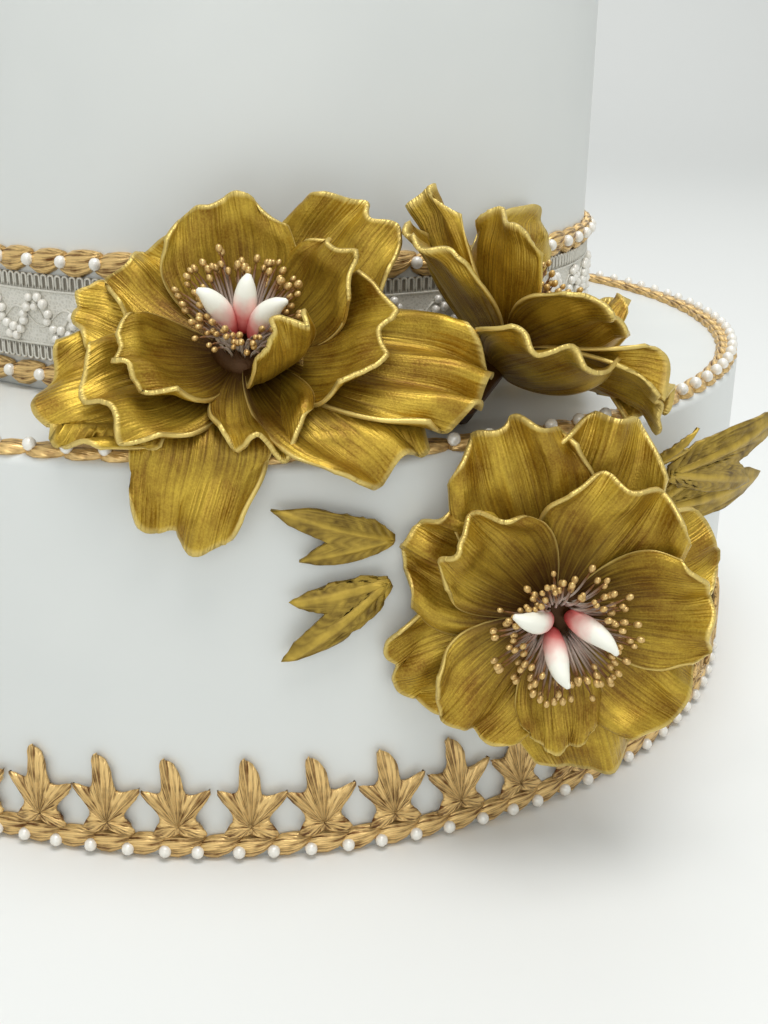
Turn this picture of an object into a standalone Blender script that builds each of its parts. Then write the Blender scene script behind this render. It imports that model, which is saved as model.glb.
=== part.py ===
"""Two-tier wedding cake with gold sugar flowers, modelled solid by solid.

Sizes are in metres, +Z is up, and the origin is on the cake's axis at its flat base.
The front of the cake faces -Y. Angles round the cake are in degrees from +X.
"""
import math

import bmesh
import bpy
from mathutils import Matrix, Vector

MM = 0.001
GAP = 0.3 * MM

# Tiers
LOWER_RADIUS = 156 * MM
LOWER_HEIGHT = 102 * MM
UPPER_RADIUS = 106 * MM
UPPER_HEIGHT = 127 * MM
SHOULDER = 2.6 * MM
UPPER_BASE = LOWER_HEIGHT + GAP
CAKE_TOP = UPPER_BASE + UPPER_HEIGHT
LOWER_STEPS = 48
UPPER_STEPS = 44

# Braided borders and their pearls
BRAID_HIGH = 6.6 * MM
BRAID_THICK = 2.6 * MM
PEARL_RADIUS = 1.75 * MM
LEAVES_PER_PEARL = 2
RIDGE_DIP = 0.4
LEAF_SWEEP = 0.2
LOWER_BRAID_LEAVES = 110
UPPER_BRAID_LEAVES = 66
LACE_BRAID_LOW = LOWER_HEIGHT + 1.6 * MM
LACE_BRAID_HIGH = LOWER_HEIGHT + 31.6 * MM

# Lace ribbon round the foot of the upper tier
LACE_LOW = LACE_BRAID_LOW + BRAID_HIGH + GAP
LACE_HIGH = LACE_BRAID_HIGH - GAP
LACE_THICK = 1.0 * MM
LACE_DIP = 0.9 * MM

# Ivy leaf border
IVY_COUNT = 56
IVY_FOOT = 7.6 * MM
IVY_HIGH = 20.8 * MM
IVY_THICK = 1.3 * MM
IVY_PHASE = -91.9

# Gold sugar flowers and their leaves
PETAL_THICK = 1.3 * MM
PETAL_ROOT = 4 * MM
PETAL_STAGGER = 0.43 * MM
HEART_RADIUS = 8 * MM
HEART_HEIGHT = 4.5 * MM
CALYX_FOOT = 7 * MM
CALYX_NECK = 4 * MM
CALYX_LONG = 26 * MM
LEAF_THICK = 1.2 * MM
LEAF_BOW = 2 * MM
LEAF_DROOP = 6 * MM

# Hearts of the flowers: distance out from the axis and height along it
STAMEN_SECTION = [(6.2 * MM, 6.6 * MM), (15 * MM, 14.5 * MM), (13.4 * MM, 15.4 * MM)]
STAMEN_HEADS = 11
STAMEN_HEAD = 1.6 * MM
# Each flower's share of that spread and height, and how far its rim leans back
STAMEN_STANCE = {"left": (0.85, 1.0, 3 * MM), "right": (0.7, 1.2, 0), "lower": (1.0, 1.0, 0)}
CARPEL_RADIUS = 2.8 * MM
CARPEL_SHAPE = [
    (3.2 * MM, 5.2 * MM, 0.5),
    (4.6 * MM, 9.4 * MM, 0.85),
    (7 * MM, 13.8 * MM, 0.95),
    (10.4 * MM, 17 * MM, 0.65),
    (13.6 * MM, 18 * MM, 0.15),
]

# Outline of a gold leaf: share of its length along, and to the side
LEAF_OUTLINE = [
    (0.0, 0.02), (0.28, 0.13), (0.6, 0.12), (1.0, 0.0), (0.66, -0.1),
    (0.5, -0.13), (0.66, -0.36), (0.34, -0.27), (0.12, -0.12), (0.0, -0.02),
]


def clear_scene():
    for thing in list(bpy.data.objects):
        bpy.data.objects.remove(thing, do_unlink=True)


def make_collection(name):
    collection = bpy.data.collections.new(name)
    bpy.context.scene.collection.children.link(collection)
    return collection


def make_material(name, colour, roughness, metallic=0.0):
    material = bpy.data.materials.new(name)
    material.use_nodes = True
    shader = material.node_tree.nodes["Principled BSDF"]
    shader.inputs["Base Color"].default_value = (*colour, 1.0)
    shader.inputs["Roughness"].default_value = roughness
    shader.inputs["Metallic"].default_value = metallic
    return material


def make_object(name, mesh, material, collection, smooth=True):
    piece = bpy.data.objects.new(name, mesh)
    collection.objects.link(piece)
    if material is not None:
        mesh.materials.clear()
        mesh.materials.append(material)
    if smooth:
        mesh.shade_smooth()
        mesh.set_sharp_from_angle(angle=math.radians(35))
    return piece


def mesh_from(bm, name):
    """Turn a bmesh into a mesh with its faces pointing out."""
    bmesh.ops.recalc_face_normals(bm, faces=bm.faces)
    mesh = bpy.data.meshes.new(name)
    bm.to_mesh(mesh)
    bm.free()
    return mesh


def around(radius, degrees, height):
    """A point at a radius, an angle round the cake and a height."""
    angle = math.radians(degrees)
    return Vector((radius * math.cos(angle), radius * math.sin(angle), height))


def evaluated_mesh(piece):
    depsgraph = bpy.context.evaluated_depsgraph_get()
    depsgraph.update()
    return bpy.data.meshes.new_from_object(piece.evaluated_get(depsgraph))


def islands(bm):
    """The separate bodies of a mesh, as lists of faces, also where two touch at an edge."""
    left = set(bm.faces)
    found = []
    while left:
        body = []
        stack = [left.pop()]
        while stack:
            face = stack.pop()
            body.append(face)
            for edge in face.edges:
                if len(edge.link_faces) > 2:
                    continue
                for other in edge.link_faces:
                    if other in left:
                        left.remove(other)
                        stack.append(other)
        found.append(body)
    return found


def body_volume(faces):
    """Signed volume inside a body's triangles."""
    total = 0.0
    for face in faces:
        first, second, third = (vert.co for vert in face.verts)
        total += first.dot(second.cross(third)) / 6
    return total


def keep_main_body(mesh):
    """Drop the inner walls of hollows that a union sealed, and loose scraps."""
    bm = bmesh.new()
    bm.from_mesh(mesh)
    bmesh.ops.triangulate(bm, faces=bm.faces)
    bodies = islands(bm)
    bodies.sort(key=body_volume, reverse=True)
    for body in bodies[1:]:
        bmesh.ops.delete(bm, geom=body, context="FACES")
    bm.to_mesh(mesh)
    bm.free()
    return len(bodies)


def fuse(body, toppings, solver="EXACT"):
    """Join a collection's objects to a body in one union, then remove them."""
    union = body.modifiers.new("fused", "BOOLEAN")
    union.operation = "UNION"
    union.solver = solver
    union.operand_type = "COLLECTION"
    union.collection = toppings
    joined = evaluated_mesh(body)
    body.modifiers.clear()
    body.data = joined
    keep_main_body(joined)
    for piece in list(toppings.objects):
        bpy.data.objects.remove(piece, do_unlink=True)
    bpy.data.collections.remove(toppings)


def tier_profile(radius, base, top):
    """A tier's half section, down its outer side from the centre of its top."""
    edge = SHOULDER * 0.3
    return [
        (0, top),
        (radius - SHOULDER, top),
        (radius - edge, top - edge),
        (radius, top - SHOULDER),
        (radius, base),
        (0, base),
    ]


def turned(name, profile, steps, material, collection):
    """A solid of revolution from a profile of radius and height."""
    mesh = bpy.data.meshes.new(name)
    points = [(radius, 0, height) for radius, height in profile]
    edges = [(n, n + 1) for n in range(len(points) - 1)]
    mesh.from_pydata(points, edges, [])
    piece = make_object(name, mesh, material, collection, smooth=False)
    screw = piece.modifiers.new("turned", "SCREW")
    screw.axis = "Z"
    screw.steps = steps
    screw.render_steps = steps
    screw.use_merge_vertices = True
    screw.merge_threshold = 0.0001
    screw.use_smooth_shade = True
    return piece


def ring(section, steps):
    """A bmesh ring: a closed section of radius and height turned right round."""
    bm = bmesh.new()
    verts = [bm.verts.new((radius, 0, height)) for radius, height in section]
    edges = [bm.edges.new((verts[n - 1], verts[n])) for n in range(len(verts))]
    bmesh.ops.spin(
        bm, geom=verts + edges, cent=(0, 0, 0), axis=(0, 0, 1),
        angle=math.tau, steps=steps, use_merge=True,
    )
    return bm


def on_circle(bm, radius, height):
    """A ring's vertices at a radius and height, in order round the cake."""
    near = 0.02 * MM
    found = [
        vert for vert in bm.verts
        if abs(vert.co.xy.length - radius) < near and abs(vert.co.z - height) < near
    ]
    return sorted(found, key=lambda vert: math.atan2(vert.co.y, vert.co.x))


def stud(bm, vert, spread, rise, outward):
    """Raise a small four-sided peak, the size of a pearl, at a vertex."""
    made = bmesh.ops.bevel(
        bm, geom=[vert], offset=spread, segments=1, profile=0.5, affect="VERTICES", material=-1,
    )["faces"]
    peak = bmesh.ops.poke(bm, faces=made)["verts"][0]
    peak.co += outward * rise


def braid(name, section, ridge, lift, leaves, material, collection):
    """A chain of overlapping leaves with pearls, run round the cake.

    section holds three points of radius and height, and ridge is the one on the
    outside. lift is how far, in radius and height, the ridge of each leaf stands up.
    """
    bm = ring(section, leaves)
    pitch = 360 / leaves
    radius, height = section[ridge]
    joints = on_circle(bm, radius, height)
    bmesh.ops.subdivide_edges(
        bm, edges=[edge for edge in bm.edges if set(edge.verts) <= set(joints)], cuts=1,
    )
    middle_radius = radius * math.cos(math.radians(pitch / 2))
    for vert in on_circle(bm, middle_radius, height):
        angle = math.degrees(math.atan2(vert.co.y, vert.co.x)) + pitch * LEAF_SWEEP
        vert.co = around(radius + lift[0], angle, height + lift[1])
    outward = Vector((lift[0], 0, lift[1])).normalized()
    for vert in on_circle(bm, radius, height)[::LEAVES_PER_PEARL]:
        turn = Matrix.Rotation(math.atan2(vert.co.y, vert.co.x), 3, "Z")
        stud(bm, vert, PEARL_RADIUS, PEARL_RADIUS, turn @ outward)
    bmesh.ops.triangulate(bm, faces=bm.faces)
    return make_object(name, mesh_from(bm, name), material, collection)


def wall_braid(name, wall, low, leaves, material, collection):
    """A braid that lies against an upright wall."""
    back = wall + GAP
    middle = low + BRAID_HIGH * 0.42
    section = [
        (back, low),
        (back + BRAID_THICK * RIDGE_DIP, middle),
        (back, low + BRAID_HIGH),
    ]
    lift = (BRAID_THICK * (1 - RIDGE_DIP), 0)
    return braid(name, section, 1, lift, leaves, material, collection)


def ledge_braid(name, outside, level, leaves, material, collection):
    """A braid that lies flat on a tier's top, along its edge."""
    base = level + GAP
    section = [
        (outside - BRAID_HIGH * 1.1, base),
        (outside, base),
        (outside - BRAID_HIGH * 0.45, base + BRAID_THICK * RIDGE_DIP),
    ]
    lift = (0, BRAID_THICK * (1 - RIDGE_DIP))
    return braid(name, section, 2, lift, leaves, material, collection)


def lace_band(material, collection):
    """The ribbon of sugar lace, with a scalloped upper and lower edge."""
    inside = UPPER_RADIUS + GAP
    outside = inside + LACE_THICK
    section = [(inside, LACE_LOW), (outside, LACE_LOW), (outside, LACE_HIGH), (inside, LACE_HIGH)]
    bm = ring(section, UPPER_STEPS)
    for vert in bm.verts:
        step = round(math.degrees(math.atan2(vert.co.y, vert.co.x)) / (360 / UPPER_STEPS))
        if step % 2:
            middle = (LACE_LOW + LACE_HIGH) / 2
            vert.co.z += math.copysign(LACE_DIP, middle - vert.co.z)
    bmesh.ops.triangulate(bm, faces=bm.faces)
    return make_object("lace_band", mesh_from(bm, "lace_band"), material, collection)


def ivy_outline(pitch):
    """Half outlines of one ivy leaf, left to right, in distance along the wall and height."""
    half = pitch / 2
    foot = IVY_FOOT
    return [
        (-1.2 * MM, foot + IVY_HIGH),
        (2.9 * MM, foot + IVY_HIGH * 0.76),
        (half, foot + IVY_HIGH * 0.60),
        (half, foot + IVY_HIGH * 0.53),
        (0.66 * half, foot),
        (-0.66 * half, foot),
        (-half, foot + IVY_HIGH * 0.53),
        (-half, foot + IVY_HIGH * 0.60),
        (-3.3 * MM, foot + IVY_HIGH * 0.70),
    ]


def ivy_border(material, collection):
    """Ivy leaves standing round the foot of the lower tier, side lobes touching."""
    back = LOWER_RADIUS + GAP * 1.5
    front = back + IVY_THICK
    pitch = math.tau * back / IVY_COUNT
    bm = bmesh.new()
    for number in range(IVY_COUNT):
        verts = [bm.verts.new((along + number * pitch, 0, high)) for along, high in ivy_outline(pitch)]
        leaf = bm.faces.new(verts)
        middle = bmesh.ops.poke(bm, faces=[leaf])["verts"][0]
        middle.co.y = 0.9 * MM
        middle.co.z -= 1.0 * MM
    bmesh.ops.remove_doubles(bm, verts=bm.verts, dist=0.02 * MM)
    for vert in bm.verts:
        angle = IVY_PHASE + 360 * vert.co.x / (pitch * IVY_COUNT)
        vert.co = around(front + vert.co.y, angle, vert.co.z)
    bmesh.ops.remove_doubles(bm, verts=bm.verts, dist=0.02 * MM)
    bmesh.ops.recalc_face_normals(bm, faces=bm.faces)
    bmesh.ops.solidify(bm, geom=bm.faces[:], thickness=IVY_THICK)
    return make_object("ivy_border", mesh_from(bm, "ivy_border"), material, collection)


def smooth_step(low, high, value):
    """A share from 0 at low to 1 at high, rising smoothly between them."""
    t = min(max((value - low) / (high - low), 0.0), 1.0)
    return t * t * (3 - 2 * t)


def clear_of_cake(point, margin):
    """Push a point out of the tiers, braids and lace, as a petal bends against them."""
    radius = math.hypot(point.x, point.y)
    out = Vector((point.x, point.y, 0)) / max(radius, 1e-9)
    rim_top = LOWER_HEIGHT + 2 * GAP + BRAID_THICK + PEARL_RADIUS
    braids_top = LACE_BRAID_HIGH + BRAID_HIGH
    wall = UPPER_RADIUS + GAP + margin
    wall += (BRAID_THICK + PEARL_RADIUS) * smooth_step(braids_top + 5 * MM, braids_top, point.z)
    if radius < wall and point.z > LOWER_HEIGHT:
        radius = wall
    ledge = LOWER_HEIGHT + GAP + margin
    ledge += (rim_top - LOWER_HEIGHT) * smooth_step(LOWER_RADIUS - 18 * MM, LOWER_RADIUS - 10 * MM, radius)
    foot = LOWER_RADIUS + BRAID_THICK + PEARL_RADIUS + 2 * GAP + margin
    side = LOWER_RADIUS + GAP + margin
    side += (foot - side) * smooth_step(36 * MM, 29 * MM, point.z)
    height = point.z
    if radius < side and height < ledge:
        if side - radius < ledge - height:
            radius = side
        else:
            height = ledge
    return Vector((out.x * radius, out.y * radius, max(height, 2 * MM)))


class Petal:
    """One petal, by the clock direction it points in and how it opens.

    turn: direction round the flower, in degrees from its right hand side.
    long, wide: size in mm. low, high: slope at the root and at the rim, in degrees
    above the flower's face. cup: how far its sides bend up, in mm. wave, ripples,
    shift: height in mm, number and phase of the ruffles at the rim. roll: how much
    one side is higher than the other, from -1 to 1. drop: depth in mm of its root below
    the flower's middle.
    """

    def __init__(self, turn, long, wide, low, high, cup=4, wave=2, ripples=2, shift=0, roll=0, drop=0):
        self.turn = math.radians(turn)
        self.long = long * MM
        self.wide = wide * MM
        self.low = math.radians(low)
        self.high = math.radians(high)
        self.cup = cup * MM
        self.wave = wave * MM
        self.ripples = ripples
        self.shift = math.radians(shift)
        self.roll = roll
        self.drop = drop * MM

    def midline(self, along):
        """Distance out, height and slope at a share of the petal's length."""
        steps = 8
        out = PETAL_ROOT
        up = -self.drop
        for step in range(steps):
            slope = self.low + (self.high - self.low) * along * (step + 0.5) / steps
            out += self.long * along / steps * math.cos(slope)
            up += self.long * along / steps * math.sin(slope)
        return out, up, self.low + (self.high - self.low) * along

    def point(self, across, along):
        """A point of the petal: across runs from -1 to 1, along from 0 to 1."""
        reach = along * (1 - 0.2 * abs(across) ** 3)
        out, up, slope = self.midline(reach)
        spread = 0.22 + 0.78 * math.sin(math.pi / 2 * min(1.0, along / 0.72)) ** 0.8
        spread *= 1 - 0.12 * smooth_step(0.72, 1.0, along)
        side = across * self.wide / 2 * spread
        ruffle = self.wave * math.sin(self.ripples * math.pi * across + self.shift)
        lift = self.cup * across ** 2 * along + ruffle * along ** 2.5
        lift += self.roll * side * along
        return Vector((
            (out - lift * math.sin(slope)) * math.cos(self.turn) - side * math.sin(self.turn),
            (out - lift * math.sin(slope)) * math.sin(self.turn) + side * math.cos(self.turn),
            up + lift * math.cos(slope),
        ))


def flower_frame(centre, azimuth, elevation):
    """A frame at a flower's middle whose z axis is the way the flower faces."""
    facing = around(math.cos(math.radians(elevation)), azimuth, math.sin(math.radians(elevation)))
    right = Vector((0, 0, 1)).cross(facing).normalized()
    upward = facing.cross(right)
    return Matrix.Translation(centre) @ Matrix((right, upward, facing)).transposed().to_4x4()


def petal_sheet(petal, frame, cells_across, cells_along, stand_off):
    """A thin wavy petal. stand_off is how far it keeps from whatever it leans on."""
    bm = bmesh.new()
    bmesh.ops.create_grid(bm, x_segments=cells_across, y_segments=cells_along, size=1)
    for vert in bm.verts:
        place = frame @ petal.point(vert.co.x, (vert.co.y + 1) / 2)
        vert.co = clear_of_cake(place, stand_off)
    bmesh.ops.triangulate(bm, faces=bm.faces)
    bmesh.ops.solidify(bm, geom=bm.faces[:], thickness=PETAL_THICK)
    return bm


def calyx(frame):
    """The foot behind a flower, which reaches back to the cake and meets it flush."""
    bm = bmesh.new()
    bmesh.ops.create_cone(
        bm, cap_ends=True, segments=6, radius1=CALYX_FOOT, radius2=CALYX_NECK, depth=CALYX_LONG,
    )
    bmesh.ops.translate(bm, verts=bm.verts, vec=(0, 0, -CALYX_LONG / 2))
    for vert in bm.verts:
        vert.co = clear_of_cake(frame @ vert.co, 0)
    return mesh_from(bm, "calyx")


def flower(name, petals, frame, material, collection):
    """A sugar flower: petals fused to the heart that they grow from."""
    bm = bmesh.new()
    bmesh.ops.create_uvsphere(bm, u_segments=7, v_segments=3, radius=HEART_RADIUS)
    bmesh.ops.scale(bm, verts=bm.verts, vec=(1, 1, HEART_HEIGHT / HEART_RADIUS))
    bmesh.ops.transform(bm, verts=bm.verts, matrix=frame)
    heart = make_object(name, mesh_from(bm, name), material, collection)
    others = make_collection(name + "_petals")
    make_object(name + "_calyx", calyx(frame), material, others)
    for number, petal in enumerate(petals):
        stand_off = PETAL_THICK + PETAL_STAGGER * (number % 4)
        sheet = petal_sheet(petal, frame, 3, 3, stand_off)
        make_object(f"{name}_petal_{number}", mesh_from(sheet, "petal"), material, others)
    fuse(heart, others)
    return heart


def stamens(name, frame, stance, material, collection):
    """The crown of stamens: a funnel of threads with its gold heads round the rim."""
    wide, tall, back = stance
    foot, rim, inner = STAMEN_SECTION
    bm = ring(STAMEN_SECTION, STAMEN_HEADS)
    for vert in on_circle(bm, *rim):
        outward = Vector((vert.co.x, vert.co.y, rim[0])).normalized()
        stud(bm, vert, STAMEN_HEAD, STAMEN_HEAD * 1.5, outward)
    bmesh.ops.triangulate(bm, faces=bm.faces)
    for vert in bm.verts:
        risen = (vert.co.z - foot[1]) / (rim[1] - foot[1])
        vert.co = (vert.co.x * wide, vert.co.y * wide + back * risen, vert.co.z * tall)
    bmesh.ops.transform(bm, verts=bm.verts, matrix=frame)
    return make_object(name, mesh_from(bm, name), material, collection)


def carpel(name, frame, horn, material, collection):
    """One curved horn of the seed case, from its root near the flower's axis to its tip."""
    curve = bpy.data.curves.new(name, "CURVE")
    curve.dimensions = "3D"
    curve.bevel_depth = CARPEL_RADIUS
    curve.bevel_resolution = 0
    curve.use_fill_caps = True
    spline = curve.splines.new("POLY")
    turn, lean, curl = horn
    steps = len(CARPEL_SHAPE) - 1
    spline.points.add(steps)
    for number, (out, up, thick) in enumerate(CARPEL_SHAPE):
        point = spline.points[number]
        place = frame @ around(out * lean, turn + curl * number / steps, up)
        point.co = (*place, 1)
        point.radius = thick
    tube = bpy.data.objects.new(name + "_curve", curve)
    collection.objects.link(tube)
    mesh = evaluated_mesh(tube)
    bpy.data.objects.remove(tube, do_unlink=True)
    bm = bmesh.new()
    bm.from_mesh(mesh)
    bmesh.ops.remove_doubles(bm, verts=bm.verts, dist=0.01 * MM)
    return make_object(name, mesh_from(bm, name), material, collection)


class Spray:
    """Where a gold leaf lies: its root and tip, each by angle, height and lift off the wall.

    side is 1 or -1, the side its lower lobe is on. wide is its width as a share of its length.
    """

    def __init__(self, root, tip, side, wide=1.0):
        self.root = Vector((math.radians(root[0]) * LOWER_RADIUS, root[1] * MM, root[2] * MM))
        self.tip = Vector((math.radians(tip[0]) * LOWER_RADIUS, tip[1] * MM, tip[2] * MM))
        self.side = side
        self.wide = wide

    def point(self, along, across):
        """A point of the leaf, in shares of its length, bent round the cake's side."""
        run = (self.tip - self.root).xy
        cross = Vector((-run.y, run.x)) * self.side * self.wide
        place = self.root.xy + run * along + cross * across
        lift = self.root.z + (self.tip.z - self.root.z) * along + LEAF_BOW * math.sin(math.pi * along)
        lift -= abs(across) * LEAF_DROOP
        radius = LOWER_RADIUS + GAP + LEAF_THICK + max(lift, 0)
        return around(radius, math.degrees(place.x / LOWER_RADIUS), place.y)


def gold_leaf(name, spray, material, collection):
    """A veined two-lobed sugar leaf, thin and slightly bowed."""
    bm = bmesh.new()
    outline = [bm.verts.new((along, across, 0)) for along, across in LEAF_OUTLINE]
    blade = bm.faces.new(outline)
    middle = bmesh.ops.poke(bm, faces=[blade])["verts"][0]
    middle.co = (0.42, -0.06, 0)
    for vert in bm.verts:
        vert.co = spray.point(vert.co.x, vert.co.y)
    bmesh.ops.recalc_face_normals(bm, faces=bm.faces)
    bmesh.ops.solidify(bm, geom=bm.faces[:], thickness=LEAF_THICK)
    return make_object(name, mesh_from(bm, name), material, collection)


FLOWER_A = flower_frame(Vector((-4, -134, 122)) * MM, -92, 50)
FLOWER_B = flower_frame(Vector((60, -120, 119)) * MM, 38, 40)
FLOWER_C = flower_frame(Vector((66.5, -159, 65)) * MM, -93, 3)

PETALS_A = [
    Petal(99, 32, 32, 12, 72, cup=4, wave=2),
    Petal(140, 31, 28, 5, 30, cup=4, wave=2, shift=60),
    Petal(165, 35, 26, 0, 15, cup=3, wave=2, shift=200),
    Petal(207, 28, 27, 8, 60, cup=5, wave=1.5),
    Petal(-52, 34, 19, 15, 122, cup=3, wave=1, shift=90),
    Petal(215, 35, 32, 2, 35, cup=4, wave=1.5, shift=40),
    Petal(203, 43, 36, 2, 5, cup=2, wave=2, shift=120),
    Petal(30, 32, 24, 10, 75, cup=4, wave=2, shift=30),
    Petal(43, 41, 32, 5, 45, cup=3, wave=3, shift=150),
    Petal(-10, 33, 34, 8, 50, cup=5, wave=1.5, shift=70),
    Petal(-78, 30, 23, 8, 22, cup=6, wave=3, shift=180),
    Petal(-107, 45, 30, 14, -42, cup=4, wave=3, shift=10),
    Petal(-39, 43, 38, 16, -24, cup=3, wave=3, shift=90, drop=-1),
    Petal(-14, 54, 32, 12, -3, cup=3, wave=4.5, ripples=3, shift=0),
]

PETALS_B = [
    Petal(62, 39, 17, 8, 36, cup=5, wave=2, shift=20),
    Petal(84, 37, 25, 0, 2, cup=6, wave=2, shift=60, roll=-0.4, drop=3),
    Petal(98, 31, 27, 15, 46, cup=6, wave=1.5, shift=140, roll=-0.3),
    Petal(-4, 54, 25, 25, 88, cup=3, wave=2),
    Petal(165, 30, 30, 5, 34, cup=6, wave=1.5, roll=0.5),
    Petal(158, 30, 34, -12, 20, cup=6, wave=2, shift=90, roll=0.55, drop=8),
    Petal(205, 38, 24, 5, 28, cup=4, wave=3, shift=50),
    Petal(240, 36, 26, 25, 115, cup=3, wave=2),
    Petal(206, 38, 24, 14, 0, cup=2, wave=1.5, shift=180),
    Petal(290, 36, 30, 12, 68, cup=4, wave=2, shift=100),
    Petal(330, 36, 28, 12, 82, cup=4, wave=2, shift=30),
]

PETALS_C = [
    Petal(107, 43, 34, -4, 8, cup=3, wave=3, ripples=3),
    Petal(73, 43, 31, -12, 1, cup=3, wave=3, ripples=2, shift=80),
    Petal(61, 33, 34, 4, 22, cup=4, wave=2, shift=30),
    Petal(26, 37, 28, -8, 0, cup=3, wave=2.5, shift=120),
    Petal(9, 33, 29, 14, 34, cup=4, wave=2.5, shift=200),
    Petal(151, 33, 32, -5, 5, cup=3, wave=3, ripples=3, shift=60),
    Petal(135, 30, 28, 8, 30, cup=4, wave=2.5, shift=0),
    Petal(203, 38, 27, -8, 0, cup=3, wave=3, shift=90),
    Petal(229, 31, 30, 5, 18, cup=3, wave=2.5, shift=150),
    Petal(-87, 28, 20, 10, 25, cup=3, wave=1.5, shift=40),
    Petal(-36, 33, 30, 8, 24, cup=3, wave=2.5, shift=0),
    Petal(-72, 40, 34, -8, -2, cup=3, wave=2.5, shift=60),
]

# Carpels: each horn's direction at its root, how far it leans, as a share of the usual lean,
# and by how many degrees it curls round the flower's axis on its way to the tip
CARPELS = {
    "left": [(160, 0.74, 0), (76, 0.6, 0), (-8, 0.78, 10)],
    "lower": [(152, 1.06, 0), (42, 0.82, -58), (-132, 0.78, 46)],
}

SPRAYS = [
    Spray((-79.5, 83, 1), (-89.6, 92, 1), -1),
    Spray((-80, 73, 1), (-88.9, 55, 1), 1),
    Spray((-54, 91, 11), (-39.5, 99.5, 19), 1),
    Spray((-54.5, 80, 6), (-38.5, 81, 14), -1),
    Spray((-56, 93, 9), (-53, 103, 16), 1),
]


def main():
    clear_scene()
    cake = make_collection("wedding_cake")
    fondant = make_material("white fondant", (0.80, 0.81, 0.80), 0.4)
    lace = make_material("silver-grey sugar lace", (0.62, 0.62, 0.58), 0.5, 0.3)
    antique = make_material("antique gold sugar paste", (0.62, 0.42, 0.17), 0.4, 0.7)
    ivory = make_material("ivory flower paste", (0.85, 0.75, 0.66), 0.45)
    gold = make_material("gold lustred petal", (0.48, 0.35, 0.06), 0.4, 0.6)

    turned("lower_tier", tier_profile(LOWER_RADIUS, 0, LOWER_HEIGHT), LOWER_STEPS, fondant, cake)
    turned("upper_tier", tier_profile(UPPER_RADIUS, UPPER_BASE, CAKE_TOP), UPPER_STEPS, fondant, cake)
    lace_band(lace, cake)
    wall_braid("base_braid", LOWER_RADIUS, 0.6 * MM, LOWER_BRAID_LEAVES, antique, cake)
    ledge_braid("rim_braid", LOWER_RADIUS - 0.5 * MM, LOWER_HEIGHT, LOWER_BRAID_LEAVES, antique, cake)
    wall_braid("lace_foot_braid", UPPER_RADIUS, LACE_BRAID_LOW, UPPER_BRAID_LEAVES, antique, cake)
    wall_braid("lace_head_braid", UPPER_RADIUS, LACE_BRAID_HIGH, UPPER_BRAID_LEAVES, antique, cake)
    ledge_braid("top_braid", UPPER_RADIUS - 0.5 * MM, CAKE_TOP, UPPER_BRAID_LEAVES, antique, cake)
    ivy_border(antique, cake)
    frames = {"left": FLOWER_A, "right": FLOWER_B, "lower": FLOWER_C}
    petals = {"left": PETALS_A, "right": PETALS_B, "lower": PETALS_C}
    for side, frame in frames.items():
        flower(f"flower_{side}", petals[side], frame, gold, cake)
        stamens(f"stamens_{side}", frame, STAMEN_STANCE[side], antique, cake)
    for side, horns in CARPELS.items():
        for number, horn in enumerate(horns, 1):
            carpel(f"carpel_{side}_{number}", frames[side], horn, ivory, cake)
    for number, spray in enumerate(SPRAYS, 1):
        gold_leaf(f"gold_leaf_{number}", spray, gold, cake)


main()
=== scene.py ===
# %% [markdown]
# # A wedding cake with gold sugar flowers
# Two round tiers under white rolled icing carry braided gold borders set with pearls, a lace
# ribbon, a row of ivy leaves and three large gold sugar peonies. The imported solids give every
# piece its size and place. This script dresses them: each plain solid is hidden behind a
# detailed piece that keeps its form, and every surface gets a finish made of nodes.

import random
from math import cos, degrees, exp, hypot, pi, radians, sin, sqrt, tau

import bmesh
import bpy
from mathutils import Matrix, Vector, noise


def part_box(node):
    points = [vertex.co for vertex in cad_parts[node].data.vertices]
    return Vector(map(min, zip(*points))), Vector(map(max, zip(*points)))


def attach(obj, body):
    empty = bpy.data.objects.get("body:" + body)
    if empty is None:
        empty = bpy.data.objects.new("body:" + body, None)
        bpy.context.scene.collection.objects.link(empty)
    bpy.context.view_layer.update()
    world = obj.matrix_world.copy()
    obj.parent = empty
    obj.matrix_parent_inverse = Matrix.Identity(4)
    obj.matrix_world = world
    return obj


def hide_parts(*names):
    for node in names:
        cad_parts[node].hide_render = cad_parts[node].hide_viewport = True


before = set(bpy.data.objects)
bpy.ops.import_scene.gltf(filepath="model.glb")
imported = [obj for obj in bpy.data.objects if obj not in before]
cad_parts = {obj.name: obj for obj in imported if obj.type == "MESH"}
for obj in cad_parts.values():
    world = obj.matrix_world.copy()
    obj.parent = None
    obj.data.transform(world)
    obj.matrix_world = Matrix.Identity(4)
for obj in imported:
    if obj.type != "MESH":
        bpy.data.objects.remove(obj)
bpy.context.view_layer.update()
MM = 0.001
print("solids:", len(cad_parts))

# %% [markdown]
# ## Camera
# A photograph can be matched by a camera with the same place, direction and lens. The lens is
# stated as in the photograph's own frame: how many pixels a thing a metre wide covers at a
# metre's distance. Blender wants millimetres of lens for a sensor 36 mm along the longer side.

# %% Camera
IMAGE_TALL = 1024
FOCAL_PIXELS = 1226.7
SENSOR = 36
CAMERA_PLACE = Vector((0, -413, 186.3)) * MM
CAMERA_YAW = -5.91
CAMERA_PITCH = -20.42
CAMERA_ROLL = 0.61


def placed(name, data):
    """An object of some data, put into the scene."""
    made = bpy.data.objects.new(name, data)
    bpy.context.scene.collection.objects.link(made)
    return made


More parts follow.
